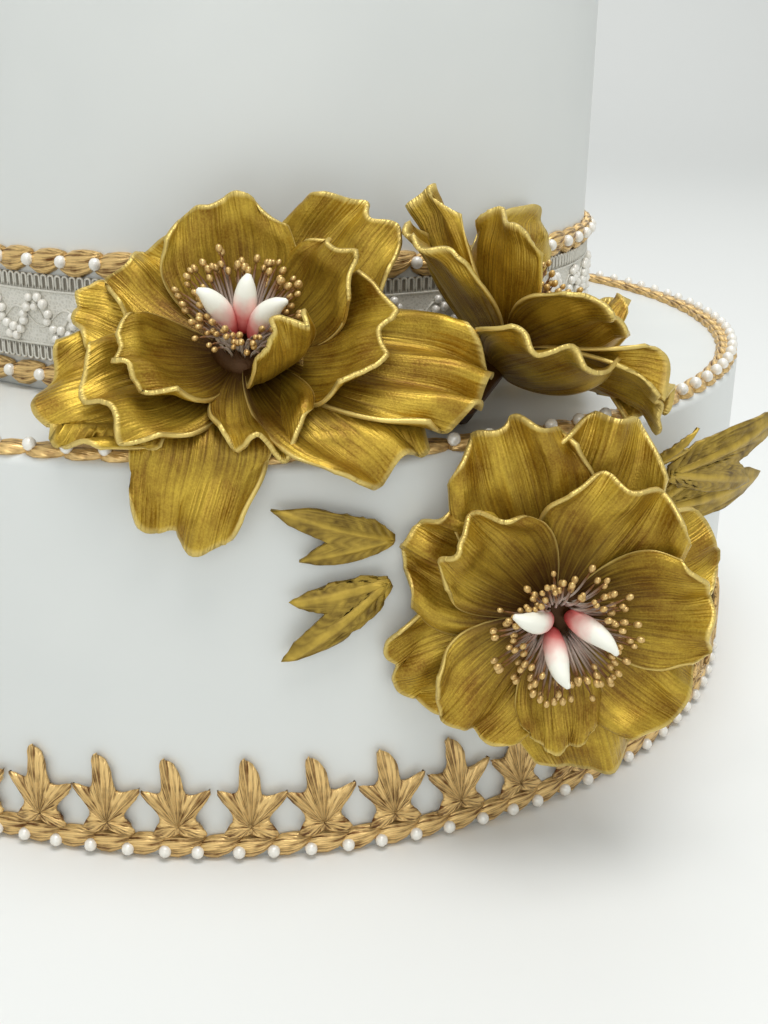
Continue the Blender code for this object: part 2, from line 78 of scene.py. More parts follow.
camera_data = bpy.data.cameras.new("camera")
camera_data.sensor_width = SENSOR
camera_data.lens = FOCAL_PIXELS * SENSOR / IMAGE_TALL
camera_data.clip_start = 0.01
camera = placed("camera", camera_data)
camera.matrix_world = (
    Matrix.Translation(CAMERA_PLACE)
    @ Matrix.Rotation(radians(CAMERA_YAW), 4, "Z")
    @ Matrix.Rotation(radians(90 + CAMERA_PITCH), 4, "X")
    @ Matrix.Rotation(radians(CAMERA_ROLL), 4, "Z")
)
bpy.context.scene.camera = camera
print("lens in mm:", round(camera_data.lens, 2))

# %% [markdown]
# ## Small helpers
# A finish starts from a Principled shader. Colours are written as hex, the way a colour picker
# shows them, and one function turns them to the linear values that nodes take. Another adds a
# node, sets its sockets or properties and links other nodes to it.

# %% Colours and nodes
def linear(colour):
    """A hex colour as linear red, green, blue and alpha."""
    channels = [int(colour[n:n + 2], 16) / 255 for n in (1, 3, 5)]
    lit = [c / 12.92 if c <= 0.04045 else ((c + 0.055) / 1.055) ** 2.4 for c in channels]
    return (*lit, 1.0)


def new_finish(name, roughness, metallic=0.0):
    """A named material and its shader."""
    material = bpy.data.materials.new(name)
    material.use_nodes = True
    shader = material.node_tree.nodes["Principled BSDF"]
    shader.inputs["Roughness"].default_value = roughness
    shader.inputs["Metallic"].default_value = metallic
    return material, shader


def add(material, kind, settings=None, links=None):
    """Add a node, set its sockets or properties, and link other nodes to its sockets.

    kind is the node's type without ShaderNode in front. A hex colour is turned to linear. A
    link names an output, or just the node where its first output is meant.
    """
    node = material.node_tree.nodes.new("ShaderNode" + kind)
    for name, value in (settings or {}).items():
        value = linear(value) if str(value).startswith("#") else value
        if isinstance(name, int) or name in node.inputs:
            node.inputs[name].default_value = value
        else:
            setattr(node, name, value)
    for name, source in (links or {}).items():
        join(node, name, source)
    return node


def join(node, name, source):
    """Link an output, or a node's first output, to a socket of a node."""
    output = source.outputs[0] if isinstance(source, bpy.types.Node) else source
    node.id_data.links.new(output, node.inputs[name])


def mottle(material, shader, grain, dark, light, detail=2.0):
    """Let the base colour drift between two, in patches of a size, and return their place."""
    place = add(material, "TexCoord").outputs["Object"]
    patches = add(material, "TexNoise", {"Scale": 1 / grain, "Detail": detail}, {"Vector": place})
    colour = add(material, "Mix", {"data_type": "RGBA", 6: dark, 7: light}, {0: patches})
    join(shader, "Base Color", colour.outputs[2])
    return place


print("white in linear light:", linear("#ffffff")[0])

# %% [markdown]
# ## Floor and studio light
# The cake stands on a plain pale sweep: a floor that bends up into a wall far behind it, so that
# no horizon shows. Large area lamps over it, before it and behind it give soft shadows, another
# lights the wall, and a pale world fills the rest. The sweep is staging, not part of the cake.

# %% Floor
FLOOR_HALF = 6
BEND_START = 2
BEND_RADIUS = 1.5


def mesh_of(bm, name):
    """Turn a finished bmesh into a mesh."""
    mesh = bpy.data.meshes.new(name)
    bm.to_mesh(mesh)
    bm.free()
    return mesh


bm = bmesh.new()
bmesh.ops.create_grid(bm, x_segments=1, y_segments=60, size=FLOOR_HALF)
for vert in bm.verts:
    run = max(vert.co.y - BEND_START, 0)
    turn = min(run / BEND_RADIUS, pi / 2)
    vert.co.y = min(vert.co.y, BEND_START) + BEND_RADIUS * sin(turn)
    vert.co.z = BEND_RADIUS * (1 - cos(turn)) + max(run - BEND_RADIUS * pi / 2, 0)
floor_mesh = mesh_of(bm, "floor")
floor_mesh.shade_smooth()
floor = placed("floor", floor_mesh)
paper, paper_shader = new_finish("matt white paper", 0.9)
paper_shader.inputs["Base Color"].default_value = linear("#e9eae8")
floor_mesh.materials.append(paper)

# %% Lamps
CAKE_MIDDLE = Vector((0, 0, 110)) * MM


def lamp(name, place, size, power, aim=CAKE_MIDDLE):
    """A square white area lamp that faces the cake, or another aim."""
    data = bpy.data.lights.new(name, "AREA")
    data.size = size
    data.energy = power
    light = placed(name, data)
    light.location = place
    light.rotation_euler = (Vector(aim) - light.location).to_track_quat("-Z", "Y").to_euler()


lamp("overhead", (0.1, -0.4, 1.5), 0.8, 12)
lamp("front", (-0.2, -1.4, 0.7), 0.7, 3.0)
lamp("back", (0.5, 1.2, 1.3), 0.8, 4)
lamp("backdrop", (0.8, 2.1, 1.5), 1.2, 5, aim=(0.9, 3.6, 0.4))
world = bpy.data.worlds.new("studio")
world.use_nodes = True
sky = world.node_tree.nodes["Background"].inputs
sky["Color"].default_value = linear("#e8ebea")
sky["Strength"].default_value = 0.74
bpy.context.scene.world = world
bpy.context.scene.view_settings.view_transform = "Standard"
print("lamps:", len(bpy.data.lights))

# %% [markdown]
# ## Making a piece
# Every piece is made in a bmesh, which is a mesh that code can edit. When its shape is done it
# becomes an object at the origin, rides on the cake's one body, takes its finish as its material,
# and may stand for one of the plain solids, which is then hidden.

# %% From bmesh to piece
SPIN_STEPS = 180


def piece(name, bm, finish, replaces=(), smooth_angle=None):
    """Make an object of a bmesh, give it its finish and hide the plain solids it replaces."""
    mesh = mesh_of(bm, name)
    mesh.materials.append(finish)
    mesh.shade_smooth()
    if smooth_angle is not None:
        mesh.set_sharp_from_angle(angle=radians(smooth_angle))
    made = placed(name, mesh)
    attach(made, "root")
    if replaces:
        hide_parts(*replaces)
    print(name, "faces:", len(mesh.polygons))
    return made


def around(radius, angle, height):
    """A point at a radius, an angle in degrees round the cake and a height."""
    turn = radians(angle)
    return Vector((radius * cos(turn), radius * sin(turn), height))


def scatter(name, template, places, finish, node):
    """Make one piece of a copy of a template mesh for each placing matrix."""
    bm = bmesh.new()
    for place in places:
        start = len(bm.verts)
        bm.from_mesh(template)
        bm.verts.ensure_lookup_table()
        bmesh.ops.transform(bm, matrix=place, verts=bm.verts[start:])
    piece(name, bm, finish, [node])


def weld(bm, distance):
    """Join the vertices that meet at a seam or a pole, and turn all faces outward."""
    bmesh.ops.remove_doubles(bm, verts=bm.verts, dist=distance)
    bmesh.ops.recalc_face_normals(bm, faces=bm.faces)


def spun(points, closed=False):
    """A bmesh of a section of distances and heights, spun round the cake's axis."""
    bm = bmesh.new()
    verts = [bm.verts.new((out, 0, up)) for out, up in points]
    if closed:
        edges = [bm.edges.new((verts[n - 1], verts[n])) for n in range(len(verts))]
    else:
        edges = [bm.edges.new(pair) for pair in zip(verts, verts[1:])]
    bmesh.ops.spin(
        bm, geom=verts + edges, cent=(0, 0, 0), axis=(0, 0, 1),
        angle=tau, steps=SPIN_STEPS, use_merge=True,
    )
    return bm


def set_uv(bm, uv_of):
    """Set the UV map by a function of each face corner and its old place in the map."""
    uv = bm.loops.layers.uv.active
    for face in bm.faces:
        for corner in face.loops:
            corner[uv].uv = uv_of(corner, corner[uv].uv)


# %% [markdown]
# ## Rolled icing
# Each tier wears a sheet of white sugar paste, rolled out, draped and polished by hand. It looks
# satin: white, softly glossy, with a rounded shoulder where it turns over the top edge and very
# shallow waves that only the light shows. A profile spun round the axis gives the tier, and a
# smooth noise moves its skin by a fraction of a millimetre.

# %% Rolled icing finish
icing, icing_shader = new_finish("polished white sugar paste", 0.36)
icing_place = mottle(icing, icing_shader, 40 * MM, "#d7dad8", "#e1e3e0")
icing_grain = add(icing, "TexNoise", {"Scale": 1 / (1.2 * MM), "Detail": 3.0}, {"Vector": icing_place})
icing_bump = add(icing, "Bump", {"Strength": 0.15, "Distance": 0.05 * MM}, {"Height": icing_grain})
join(icing_shader, "Normal", icing_bump)
print("finish:", icing.name)

# %% Tiers
SHOULDER = 2.6 * MM
ICING_WAVE = 0.25 * MM


def tier_section(radius, base, top):
    """Half a section: the flat top, the rounded shoulder, the side and the underside."""
    points = [(share * (radius - SHOULDER), top) for share in (0, 0.3, 0.6, 0.85, 0.95)]
    for step in range(7):
        turn = radians(90 - 15 * step)
        points.append((
            radius - SHOULDER + SHOULDER * cos(turn),
            top - SHOULDER + SHOULDER * sin(turn),
        ))
    rows = 10
    for row in range(1, rows + 1):
        points.append((radius, top - SHOULDER + (base - top + SHOULDER) * row / rows))
    points.append((radius * 0.5, base))
    points.append((0, base))
    return points


def iced_tier(name, node):
    """A tier spun from its section, with the hand's shallow waves in its skin."""
    low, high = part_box(node)
    radius = high.x
    bm = spun(tier_section(radius, low.z, high.z))
    weld(bm, 0.001 * MM)
    for vert in bm.verts:
        wave = noise.noise(vert.co / (70 * MM)) - 0.5
        inward = Vector((vert.co.x, vert.co.y, 0)) / radius
        vert.co += inward * wave * ICING_WAVE
    piece(name, bm, icing, [node])


iced_tier("lower_tier_icing", "lower_tier")
iced_tier("upper_tier_icing", "upper_tier")
LOWER_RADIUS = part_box("lower_tier")[1].x
UPPER_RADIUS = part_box("upper_tier")[1].x
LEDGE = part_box("lower_tier")[1].z
print("tier widths in mm:", round(2 * LOWER_RADIUS / MM), round(2 * UPPER_RADIUS / MM))

# %% [markdown]
# ## Antique gold paste
# The braids and ivy are sugar paste pressed in a mould and brushed with gold lustre dust over a
# brown ground. Lustre is mica, so the surface is part metal: bright where a ridge was brushed,
# copper brown in the grooves that the brush didn't reach. The grooves run along each leaf, so
# the pattern reads the leaf's own UV map: u counts the grooves and v runs along them.

# %% Antique gold finish
BRAID_LEAF_LONG = 12.4 * MM
antique, antique_shader = new_finish("antique gold lustre on pressed sugar paste", 0.34, 0.6)
antique_uv = add(antique, "UVMap")
antique_along = add(antique, "Mapping", {"Scale": (1.0, 0.45, 1.0)}, {"Vector": antique_uv})
antique_grooves = add(
    antique, "TexNoise", {"Scale": 1.0, "Detail": 2.0, "Roughness": 0.6}, {"Vector": antique_along},
)
antique_place = add(antique, "TexCoord").outputs["Object"]
antique_blotch = add(
    antique, "TexNoise", {"Scale": 1 / (3.2 * MM), "Detail": 3.0}, {"Vector": antique_place},
)
antique_brush = add(antique, "MapRange", {"From Min": 0.36, "From Max": 0.6}, {"Value": antique_grooves})
antique_cover = add(
    antique, "Math", {"operation": "MULTIPLY_ADD", 1: 0.7, "use_clamp": True},
    {0: antique_brush, 2: antique_blotch},
)
antique_level = add(antique, "MapRange", {"From Min": 0.45, "From Max": 1.05}, {"Value": antique_cover})
antique_colour = add(
    antique, "Mix", {"data_type": "RGBA", 6: "#6c4217", 7: "#f6d08a"}, {0: antique_level},
)
join(antique_shader, "Base Color", antique_colour.outputs[2])
antique_bump = add(antique, "Bump", {"Strength": 0.9, "Distance": 0.35 * MM}, {"Height": antique_brush})
join(antique_shader, "Normal", antique_bump)
print("finish:", antique.name)

# %% [markdown]
# ## Sugar pearls
# The pearls are boiled sugar dragees with a pearl coat: white, glossy and faintly cloudy. A coat
# layer over a slightly metallic white gives the bright point of light and its soft halo.

# %% Pearl finish
pearl, pearl_shader = new_finish("pearl coated sugar dragee", 0.3, 0.1)
pearl_shader.inputs["Coat Weight"].default_value = 0.8
pearl_shader.inputs["Coat Roughness"].default_value = 0.08
mottle(pearl, pearl_shader, 1.5 * MM, "#e4ddd0", "#fbfaf4")
print("finish:", pearl.name)

# %% [markdown]
# ## Braided borders
# A braid is one leaf, pressed over and over, each tip lying on the next leaf's root. The leaf is
# a flattened ball: fuller at its root, pointed at its tip, with a crease along its middle. One
# leaf is modelled and copied round the cake, and a pearl sits at each joint.

# %% One braid leaf
BRAID_LEAF_HIGH = 6.3 * MM
BRAID_LEAF_DEEP = 2.3 * MM
BRAID_LEAF_TILT = 15
GROOVES_PER_LEAF = 3.5


def make_braid_leaf():
    """A plump leaf: x along it, y across it, z out of the cake, its back flat at z = 0."""
    bm = bmesh.new()
    bm.loops.layers.uv.new("leaf")
    bmesh.ops.create_uvsphere(bm, u_segments=12, v_segments=7, radius=1)
    bmesh.ops.rotate(bm, verts=bm.verts, matrix=Matrix.Rotation(pi / 2, 3, "Y"))
    grooves = {}
    for vert in bm.verts:
        along, across, out = vert.co
        chord = sqrt(max(1 - along * along, 0.02))
        grooves[vert] = (GROOVES_PER_LEAF * across / chord + along, along)
        full = (1 - 0.3 * along) * chord ** 0.35
        bow = 0.16 * (along * along - 0.4)
        crease = 0.2 * exp(-(across / 0.25) ** 2) * (1 - along * along)
        vert.co = (
            along * BRAID_LEAF_LONG / 2,
            (across * full + bow) * BRAID_LEAF_HIGH / 2,
            (max(out, -0.25) * (1 - 0.2 * along) - crease * (out > 0)) * BRAID_LEAF_DEEP,
        )
    set_uv(bm, lambda corner, old: grooves[corner.vert])
    tilt = Matrix.Rotation(radians(BRAID_LEAF_TILT), 3, "Z")
    bmesh.ops.rotate(bm, verts=bm.verts, matrix=tilt)
    return mesh_of(bm, "braid_leaf")


def ball(radius, segments=9, stretch=(1, 1, 1)):
    """A ball of a few dozen faces, for pearls, beads and stamen heads."""
    bm = bmesh.new()
    bmesh.ops.create_uvsphere(bm, u_segments=segments, v_segments=6, radius=radius)
    bmesh.ops.scale(bm, verts=bm.verts, vec=stretch)
    return mesh_of(bm, "ball")


braid_leaf = make_braid_leaf()
PEARL_RADIUS = 1.65 * MM
braid_pearl = ball(PEARL_RADIUS)
print("leaf faces:", len(braid_leaf.polygons), "pearl faces:", len(braid_pearl.polygons))

# %% Places round the cake
LOWER_BRAID_LEAVES = 110
UPPER_BRAID_LEAVES = 66
BRAID_HIGH = 6.6 * MM
BRAID_THICK = 2.6 * MM
GAP = 0.3 * MM


def stand(place, angle, flat=False):
    """A matrix at a place on the cake: x runs round it, y up it and z out of it.

    When flat, y runs inward along the top instead and z points up.
    """
    out = around(1, angle, 0)
    along = Vector((-out.y, out.x, 0))
    up = Vector((0, 0, 1))
    axes = (along, -out, up) if flat else (along, up, out)
    return Matrix.Translation(place) @ Matrix(axes).transposed().to_4x4()


print("leaves in the two sizes of ring:", LOWER_BRAID_LEAVES, "and", UPPER_BRAID_LEAVES)

# %% Rows of leaves and pearls
def braid(name, radius, height, leaves, pearl_out, pearl_up, flat=False):
    """Leaves and pearls round a circle. radius and height are those of the leaves' backs.

    pearl_out and pearl_up say how far a pearl's middle is outside and above them.
    """
    draw = random.Random(name)
    places = []
    pearls = []
    for number in range(leaves):
        angle = 360 * (number + draw.uniform(-0.06, 0.06)) / leaves
        size = Matrix.Scale(draw.uniform(0.97, 1.04) * leaf_stretch(radius, leaves), 4)
        lean = Matrix.Rotation(radians(draw.uniform(-3, 3)), 4, "Z")
        places.append(stand(around(radius, angle, height), angle, flat) @ lean @ size)
        joint = angle + (180 + draw.uniform(-15, 15)) / leaves
        pearls.append(Matrix.Translation(around(radius + pearl_out, joint, height + pearl_up)))
    scatter(name + "_leaves", braid_leaf, places, antique, name)
    scatter(name + "_pearls", braid_pearl, pearls, pearl, name)


def leaf_stretch(radius, leaves):
    """How much bigger than the mould's the leaves of a braid are, so that they still overlap."""
    pitch = tau * radius / leaves
    return 1 + 0.3 * (pitch / (0.72 * BRAID_LEAF_LONG) - 1)


def wall_braid(name, wall, leaves, pearl_up):
    """A braid against an upright wall, where its plain solid is."""
    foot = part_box(name)[0].z
    braid(name, wall + GAP, foot + BRAID_HIGH / 2, leaves, 0.75 * BRAID_THICK, pearl_up)


def top_braid(name, leaves):
    """A braid lying on a tier's top, where its plain solid is."""
    low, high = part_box(name)
    radius = high.x - 0.52 * BRAID_HIGH
    braid(name, radius, low.z, leaves, 0.3 * BRAID_HIGH, 0.8 * BRAID_THICK, flat=True)


wall_braid("base_braid", LOWER_RADIUS, LOWER_BRAID_LEAVES, -1.2 * MM)
wall_braid("lace_foot_braid", UPPER_RADIUS, UPPER_BRAID_LEAVES, 0)
wall_braid("lace_head_braid", UPPER_RADIUS, UPPER_BRAID_LEAVES, 0)
top_braid("rim_braid", LOWER_BRAID_LEAVES)
top_braid("top_braid", UPPER_BRAID_LEAVES)

# %% [markdown]
# ## Ivy border
# Each ivy leaf is pressed from a thin sheet of gold paste. Its outline is written round the
# point where its veins meet, as an angle and a distance, and a grid is bent into that shape:
# one way round the outline, the other way from the veins' point out to the edge. Ridges along
# the veins, and finer ones slanting off them, lift the paste.

# %% Outlines and veins
GROOVES_ROUND_LEAF = 26


def smooth_step(low, high, value):
    """A share from 0 at low to 1 at high, rising smoothly between them."""
    t = min(max((value - low) / (high - low), 0.0), 1.0)
    return t * t * (3 - 2 * t)


def outline_point(outline, share):
    """A point at a share of the way round an outline of angles and distances."""
    place = share * (len(outline) - 1)
    number = min(int(place), len(outline) - 2)
    start, end = (around(distance, angle, 0).xy for angle, distance in outline[number:number + 2])
    return start.lerp(end, place - number)


def vein_relief(spot, veins, width, pitch):
    """How far the paste stands up at a spot, from 0 to 1, by the main and the slanting veins."""
    best = None
    for angle in veins:
        turn = radians(angle)
        along = spot.x * cos(turn) + spot.y * sin(turn)
        across = abs(spot.x * sin(turn) - spot.y * cos(turn))
        if along > 0 and (best is None or across < best[1]):
            best = (along, across)
    if best is None:
        return 0.0
    along, across = best
    ridge = exp(-(across / width) ** 2)
    slant = 0.5 + 0.5 * cos(tau * (along - 0.9 * across) / pitch)
    return ridge + 0.6 * slant * smooth_step(0.5 * width, 2 * width, across)


print("a share of 0.5 smoothed:", smooth_step(0, 1, 0.5))

# %% Leaf blades
def leaf_blade(outline, veins, cells_round, cells_out, vein_width, vein_pitch, relief, crown):
    """A veined leaf in the plane of x and y, with z as its relief, open at the back.

    Its UV map counts grooves round the veins' point and runs out from it. Its relief
    attribute keeps how far each spot stands up, for the finish.
    """
    bm = bmesh.new()
    bm.loops.layers.uv.new("leaf")
    raised = bm.verts.layers.float.new("relief")
    bmesh.ops.create_grid(bm, x_segments=cells_round, y_segments=cells_out, size=1, calc_uvs=False)
    set_uv(bm, lambda corner, old: (GROOVES_ROUND_LEAF * corner.vert.co.x, corner.vert.co.y))
    longest = max(distance for _, distance in outline)
    for vert in bm.verts:
        edge = outline_point(outline, (vert.co.x + 1) / 2)
        out = (vert.co.y + 1) / 2
        spot = edge * out
        vert[raised] = vein_relief(spot, veins, vein_width, vein_pitch)
        lift = relief * vert[raised] + crown * (1 - (spot.length / longest) ** 2)
        lift -= 0.5 * crown * smooth_step(0.8, 1, out)
        vert.co = (spot.x, spot.y, lift)
    weld(bm, 0.0005 * longest)
    if sum(face.normal.z for face in bm.faces) < 0:
        bmesh.ops.reverse_faces(bm, faces=bm.faces)
    return bm


print("grooves round a leaf:", GROOVES_ROUND_LEAF)

# %% Ivy leaves
IVY_COUNT = 56
IVY_PHASE = -91.9
IVY_FOOT = 7.6 * MM
IVY_HEART = 2.6 * MM
IVY_OUTLINE = [(angle, distance * MM) for angle, distance in (
    (-90, 2.4), (-60, 3.6), (-35, 6.2), (-19, 7.6), (-5, 6), (15, 4.6), (32, 5.2), (42, 9.4),
    (46, 12.2), (50, 13.2), (55, 11.8), (66, 9), (76, 8.8), (81, 11.4), (84, 14), (90, 16.4),
    (96, 17.9), (99, 18.5), (102, 17.2), (104, 14.6), (107, 11.8), (111, 10.2), (118, 9.6),
    (127, 11.6), (132, 12.8), (137, 11.6), (146, 5.8), (165, 4.6), (186, 5.6), (203, 7.2),
    (220, 5.8), (243, 3.6), (270, 2.4),
)]
IVY_VEINS = [-19, 50, 98, 133, 203]
IVY_THICK = 1.1 * MM


def ivy_leaf():
    """One pressed ivy leaf with its back on z = 0."""
    bm = leaf_blade(
        IVY_OUTLINE, IVY_VEINS, 72, 10, vein_width=0.6 * MM, vein_pitch=1.7 * MM,
        relief=0.6 * MM, crown=0.8 * MM,
    )
    bmesh.ops.solidify(bm, geom=bm.faces[:], thickness=IVY_THICK)
    lowest = min(vert.co.z for vert in bm.verts)
    bmesh.ops.translate(bm, verts=bm.verts, vec=(0, 0, -lowest))
    return mesh_of(bm, "ivy_leaf")


def ivy_row():
    """Ivy leaves standing round the foot of the lower tier."""
    leaf = ivy_leaf()
    draw = random.Random("ivy")
    places = []
    for number in range(IVY_COUNT):
        angle = IVY_PHASE + 360 * number / IVY_COUNT
        tilt = Matrix.Rotation(radians(draw.uniform(-5, 5)), 4, "Z")
        spot = around(LOWER_RADIUS + GAP, angle, IVY_FOOT + IVY_HEART)
        places.append(stand(spot, angle) @ tilt)
    scatter("ivy_leaves", leaf, places, antique, "ivy_border")


ivy_row()

# %% [markdown]
# ## Lace ribbon
# Between two braids runs a ribbon of silver-grey lace: a fine net with a row of upright loops
# along each edge, raised stitching in waves, and small beads. The net is too fine to model, so
# it is drawn by a cell pattern in its finish, with painted shade where it lies open behind the
# loops. Loops, stitching and beads stand out of it, so they are shapes: bent tubes, wavy tubes,
# small balls.

# %% Lace finish
NET_PITCH = 0.9 * MM
LACE_LOW, LACE_HIGH = (corner.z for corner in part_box("lace_band"))
LACE_MIDDLE = (LACE_LOW + LACE_HIGH) / 2
LOOP_HIGH = 4.4 * MM
lace, lace_shader = new_finish("silver-grey lace net", 0.55)
lace_place = add(lace, "TexCoord").outputs["Object"]
lace_cells = add(
    lace, "TexVoronoi", {"feature": "DISTANCE_TO_EDGE", "Scale": 1 / NET_PITCH}, {"Vector": lace_place},
)
lace_thread = add(lace, "MapRange", {"From Min": 0.05, "From Max": 0.3}, {"Value": lace_cells})
lace_net_colour = add(lace, "Mix", {"data_type": "RGBA", 6: "#e0ddd3", 7: "#cecbc0"}, {0: lace_thread})
lace_split = add(lace, "SeparateXYZ", {}, {"Vector": lace_place})
lace_height = add(lace, "Math", {"operation": "SUBTRACT", 1: LACE_MIDDLE}, {0: lace_split.outputs["Z"]})
lace_out = add(lace, "Math", {"operation": "ABSOLUTE"}, {0: lace_height})
# Painted shade: the net darkens near both edges, behind the loops, where they shade it
lace_loop_shade = add(
    lace, "MapRange",
    {"From Min": LACE_HIGH - LACE_MIDDLE - LOOP_HIGH, "From Max": LACE_HIGH - LACE_MIDDLE - 0.8 * LOOP_HIGH},
    {"Value": lace_out},
)
# 7f796c is the colour of that painted shade
lace_colour = add(
    lace, "Mix", {"data_type": "RGBA", 7: "#7f796c"}, {0: lace_loop_shade, 6: lace_net_colour.outputs[2]},
)
join(lace_shader, "Base Color", lace_colour.outputs[2])
lace_bump = add(
    lace, "Bump", {"Strength": 0.4, "Distance": 0.2 * MM, "invert": True}, {"Height": lace_thread},
)
join(lace_shader, "Normal", lace_bump)

stitch, stitch_shader = new_finish("twisted cotton and silver thread", 0.5, 0.15)
mottle(stitch, stitch_shader, 0.5 * MM, "#c9c6ba", "#efece2")
print("finishes:", lace.name, "and", stitch.name)

# %% A tube along a path
def tube(bm, path, thickness, sides, rings):
    """Wrap a grid round a path, closed where its thickness is nothing at the ends.

    path and thickness are functions of a share of the way along, from 0 to 1.
    """
    made = bmesh.ops.create_grid(bm, x_segments=sides, y_segments=rings, size=1, calc_uvs=True)
    step = 0.02
    for vert in made["verts"]:
        share = (vert.co.y + 1) / 2
        angle = pi * vert.co.x
        ahead = path(min(share + step, 1)) - path(max(share - step, 0))
        if ahead.xy.length < 1e-9:
            side = ahead.orthogonal().normalized()
        else:
            side = Vector((-ahead.y, ahead.x, 0)).normalized()
        other = ahead.normalized().cross(side)
        round_it = cos(angle) * side + sin(angle) * other
        vert.co = path(share) + thickness(share) * round_it


def rounded_end(share, full, end=0.12):
    """A thickness that is full along a tube and closes at both ends."""
    near = min(share, 1 - share) / end
    return full * sqrt(max(0.0, 1 - (1 - min(near, 1)) ** 2))


print("half way along, a 1 mm tube is", round(rounded_end(0.5, 1), 2), "mm thick")

# %% Ribbon and loops
LACE_RADIUS = UPPER_RADIUS + GAP
LACE_THICK = 0.5 * MM
LOOP_PITCH = 2.2 * MM
THREAD = 0.34 * MM
BEAD_RADIUS = 1.25 * MM
MOTIF_PITCH = 15.6 * MM


def ribbon():
    """The net itself, a thin band."""
    inside, outside = LACE_RADIUS, LACE_RADIUS + LACE_THICK
    low, high = LACE_LOW + 0.3 * MM, LACE_HIGH - 0.3 * MM
    bm = spun([(inside, low), (outside, low), (outside, high), (inside, high)], closed=True)
    bmesh.ops.recalc_face_normals(bm, faces=bm.faces)
    piece("lace_net", bm, lace, ["lace_band"], smooth_angle=40)


def loop_template():
    """One upright loop of thread, open below, with its back on z = 0."""
    bm = bmesh.new()

    def path(share):
        turn = pi * (share * 1.5 - 0.25)
        straight = max(0.0, abs(share - 0.5) - 0.25) * 4 * LOOP_HIGH * 0.75
        half = LOOP_PITCH * 0.36
        return Vector((cos(turn) * half, sin(turn) * half - straight, THREAD))

    tube(bm, path, lambda share: rounded_end(share, THREAD), 4, 8)
    weld(bm, 0.005 * MM)
    return mesh_of(bm, "lace_loop")


def loop_rows():
    """The loops along both edges, pointing away from the ribbon's middle."""
    loop = loop_template()
    count = round(tau * LACE_RADIUS / LOOP_PITCH)
    places = []
    for number in range(count):
        angle = 360 * number / count
        for height, turn in ((LACE_HIGH - 0.5 * LOOP_PITCH, 0), (LACE_LOW + 0.5 * LOOP_PITCH, pi)):
            spot = around(LACE_RADIUS + 0.6 * LACE_THICK, angle, height)
            places.append(stand(spot, angle) @ Matrix.Rotation(turn, 4, "Z"))
    scatter("lace_loops", loop, places, stitch, "lace_band")


ribbon()
loop_rows()

# %% Stitching and beads
def wavy_cords():
    """Cords round the ribbon: two straight ones by the loops and two that wave."""
    bm = bmesh.new()
    waves = round(tau * LACE_RADIUS / MOTIF_PITCH)
    edge = (LACE_HIGH - LACE_LOW) / 2 - LOOP_HIGH
    cords = [(edge, 0, 0), (-edge, 0, 0), (0, 4.2 * MM, 0), (0, 2.4 * MM, pi * 0.6)]
    for height, swing, phase in cords:

        def path(share, height=height, swing=swing, phase=phase):
            up = LACE_MIDDLE + height + swing * sin(share * tau * waves + phase)
            return around(LACE_RADIUS + LACE_THICK + THREAD * 0.5, share * 360, up)

        tube(bm, path, lambda share: THREAD, 5, waves * (14 if swing else 4))
    weld(bm, 0.02 * MM)
    piece("lace_cords", bm, stitch, ["lace_band"])


def lace_beads():
    """Beads in clusters on the crests and troughs of the waving cord, and a few between."""
    cluster = [
        (0, 0), (2.5, 0.7), (0.9, 2.5), (-1.7, 2.1), (-2.5, -0.4), (3.9, -1.6), (-4.2, -2.2),
    ]
    waves = round(tau * LACE_RADIUS / MOTIF_PITCH)
    draw = random.Random("beads")
    places = []
    for number in range(2 * waves):
        side = 1 if number % 2 == 0 else -1
        for across, up in cluster:
            shift = across + draw.uniform(-0.2, 0.2)
            along = (number + 0.5) / 2 * MOTIF_PITCH + shift * MM
            height = LACE_MIDDLE + side * (up + 2.9 + draw.uniform(-0.2, 0.2)) * MM
            angle = degrees(along / LACE_RADIUS)
            size = Matrix.Scale(draw.uniform(0.85, 1.08), 4)
            spot = around(LACE_RADIUS + LACE_THICK + 0.7 * BEAD_RADIUS, angle, height)
            places.append(Matrix.Translation(spot) @ size)
    scatter("lace_beads", ball(BEAD_RADIUS), places, pearl, "lace_band")


wavy_cords()
lace_beads()

# %% [markdown]
# ## Gold lustred petals
# Petals are cut from flower paste, veined in a mould, thinned and ruffled at the rim with a ball
# tool, dried in a cup and dusted with gold lustre. The cup stays an olive gold satin with a fine
# sparkle, and the fan of veins catches the light. A pale bright line is painted on the thin rim as
# a highlight, and the root is painted a deep bronze as shade. The grid's UV map says how far each
# spot is from the rim and the root.

# %% Petal finish
gold, gold_shader = new_finish("gold lustre dust on dried flower paste", 0.38, 0.55)
petal_uv = add(gold, "UVMap")
petal_fan = add(gold, "Mapping", {"Scale": (52.0, 2.4, 1.0)}, {"Vector": petal_uv})
petal_veins = add(gold, "TexNoise", {"Scale": 1.0, "Detail": 1.0}, {"Vector": petal_fan})
petal_place = add(gold, "TexCoord").outputs["Object"]
petal_dust = add(
    gold, "TexNoise", {"Scale": 1 / (0.5 * MM), "Detail": 2.0, "Roughness": 0.7}, {"Vector": petal_place},
)
petal_patch = add(gold, "TexNoise", {"Scale": 1 / (9 * MM), "Detail": 3.0}, {"Vector": petal_place})
petal_tone = add(gold, "Math", {"operation": "MULTIPLY_ADD", 1: 0.4}, {0: petal_veins, 2: petal_patch})
petal_speck = add(gold, "Math", {"operation": "MULTIPLY_ADD", 1: 0.5}, {0: petal_dust, 2: petal_tone})
petal_level = add(gold, "MapRange", {"From Min": 0.7, "From Max": 1.2}, {"Value": petal_speck})
petal_body = add(gold, "Mix", {"data_type": "RGBA", 6: "#865f0a", 7: "#cfae3c"}, {0: petal_level})
print("finish:", gold.name)
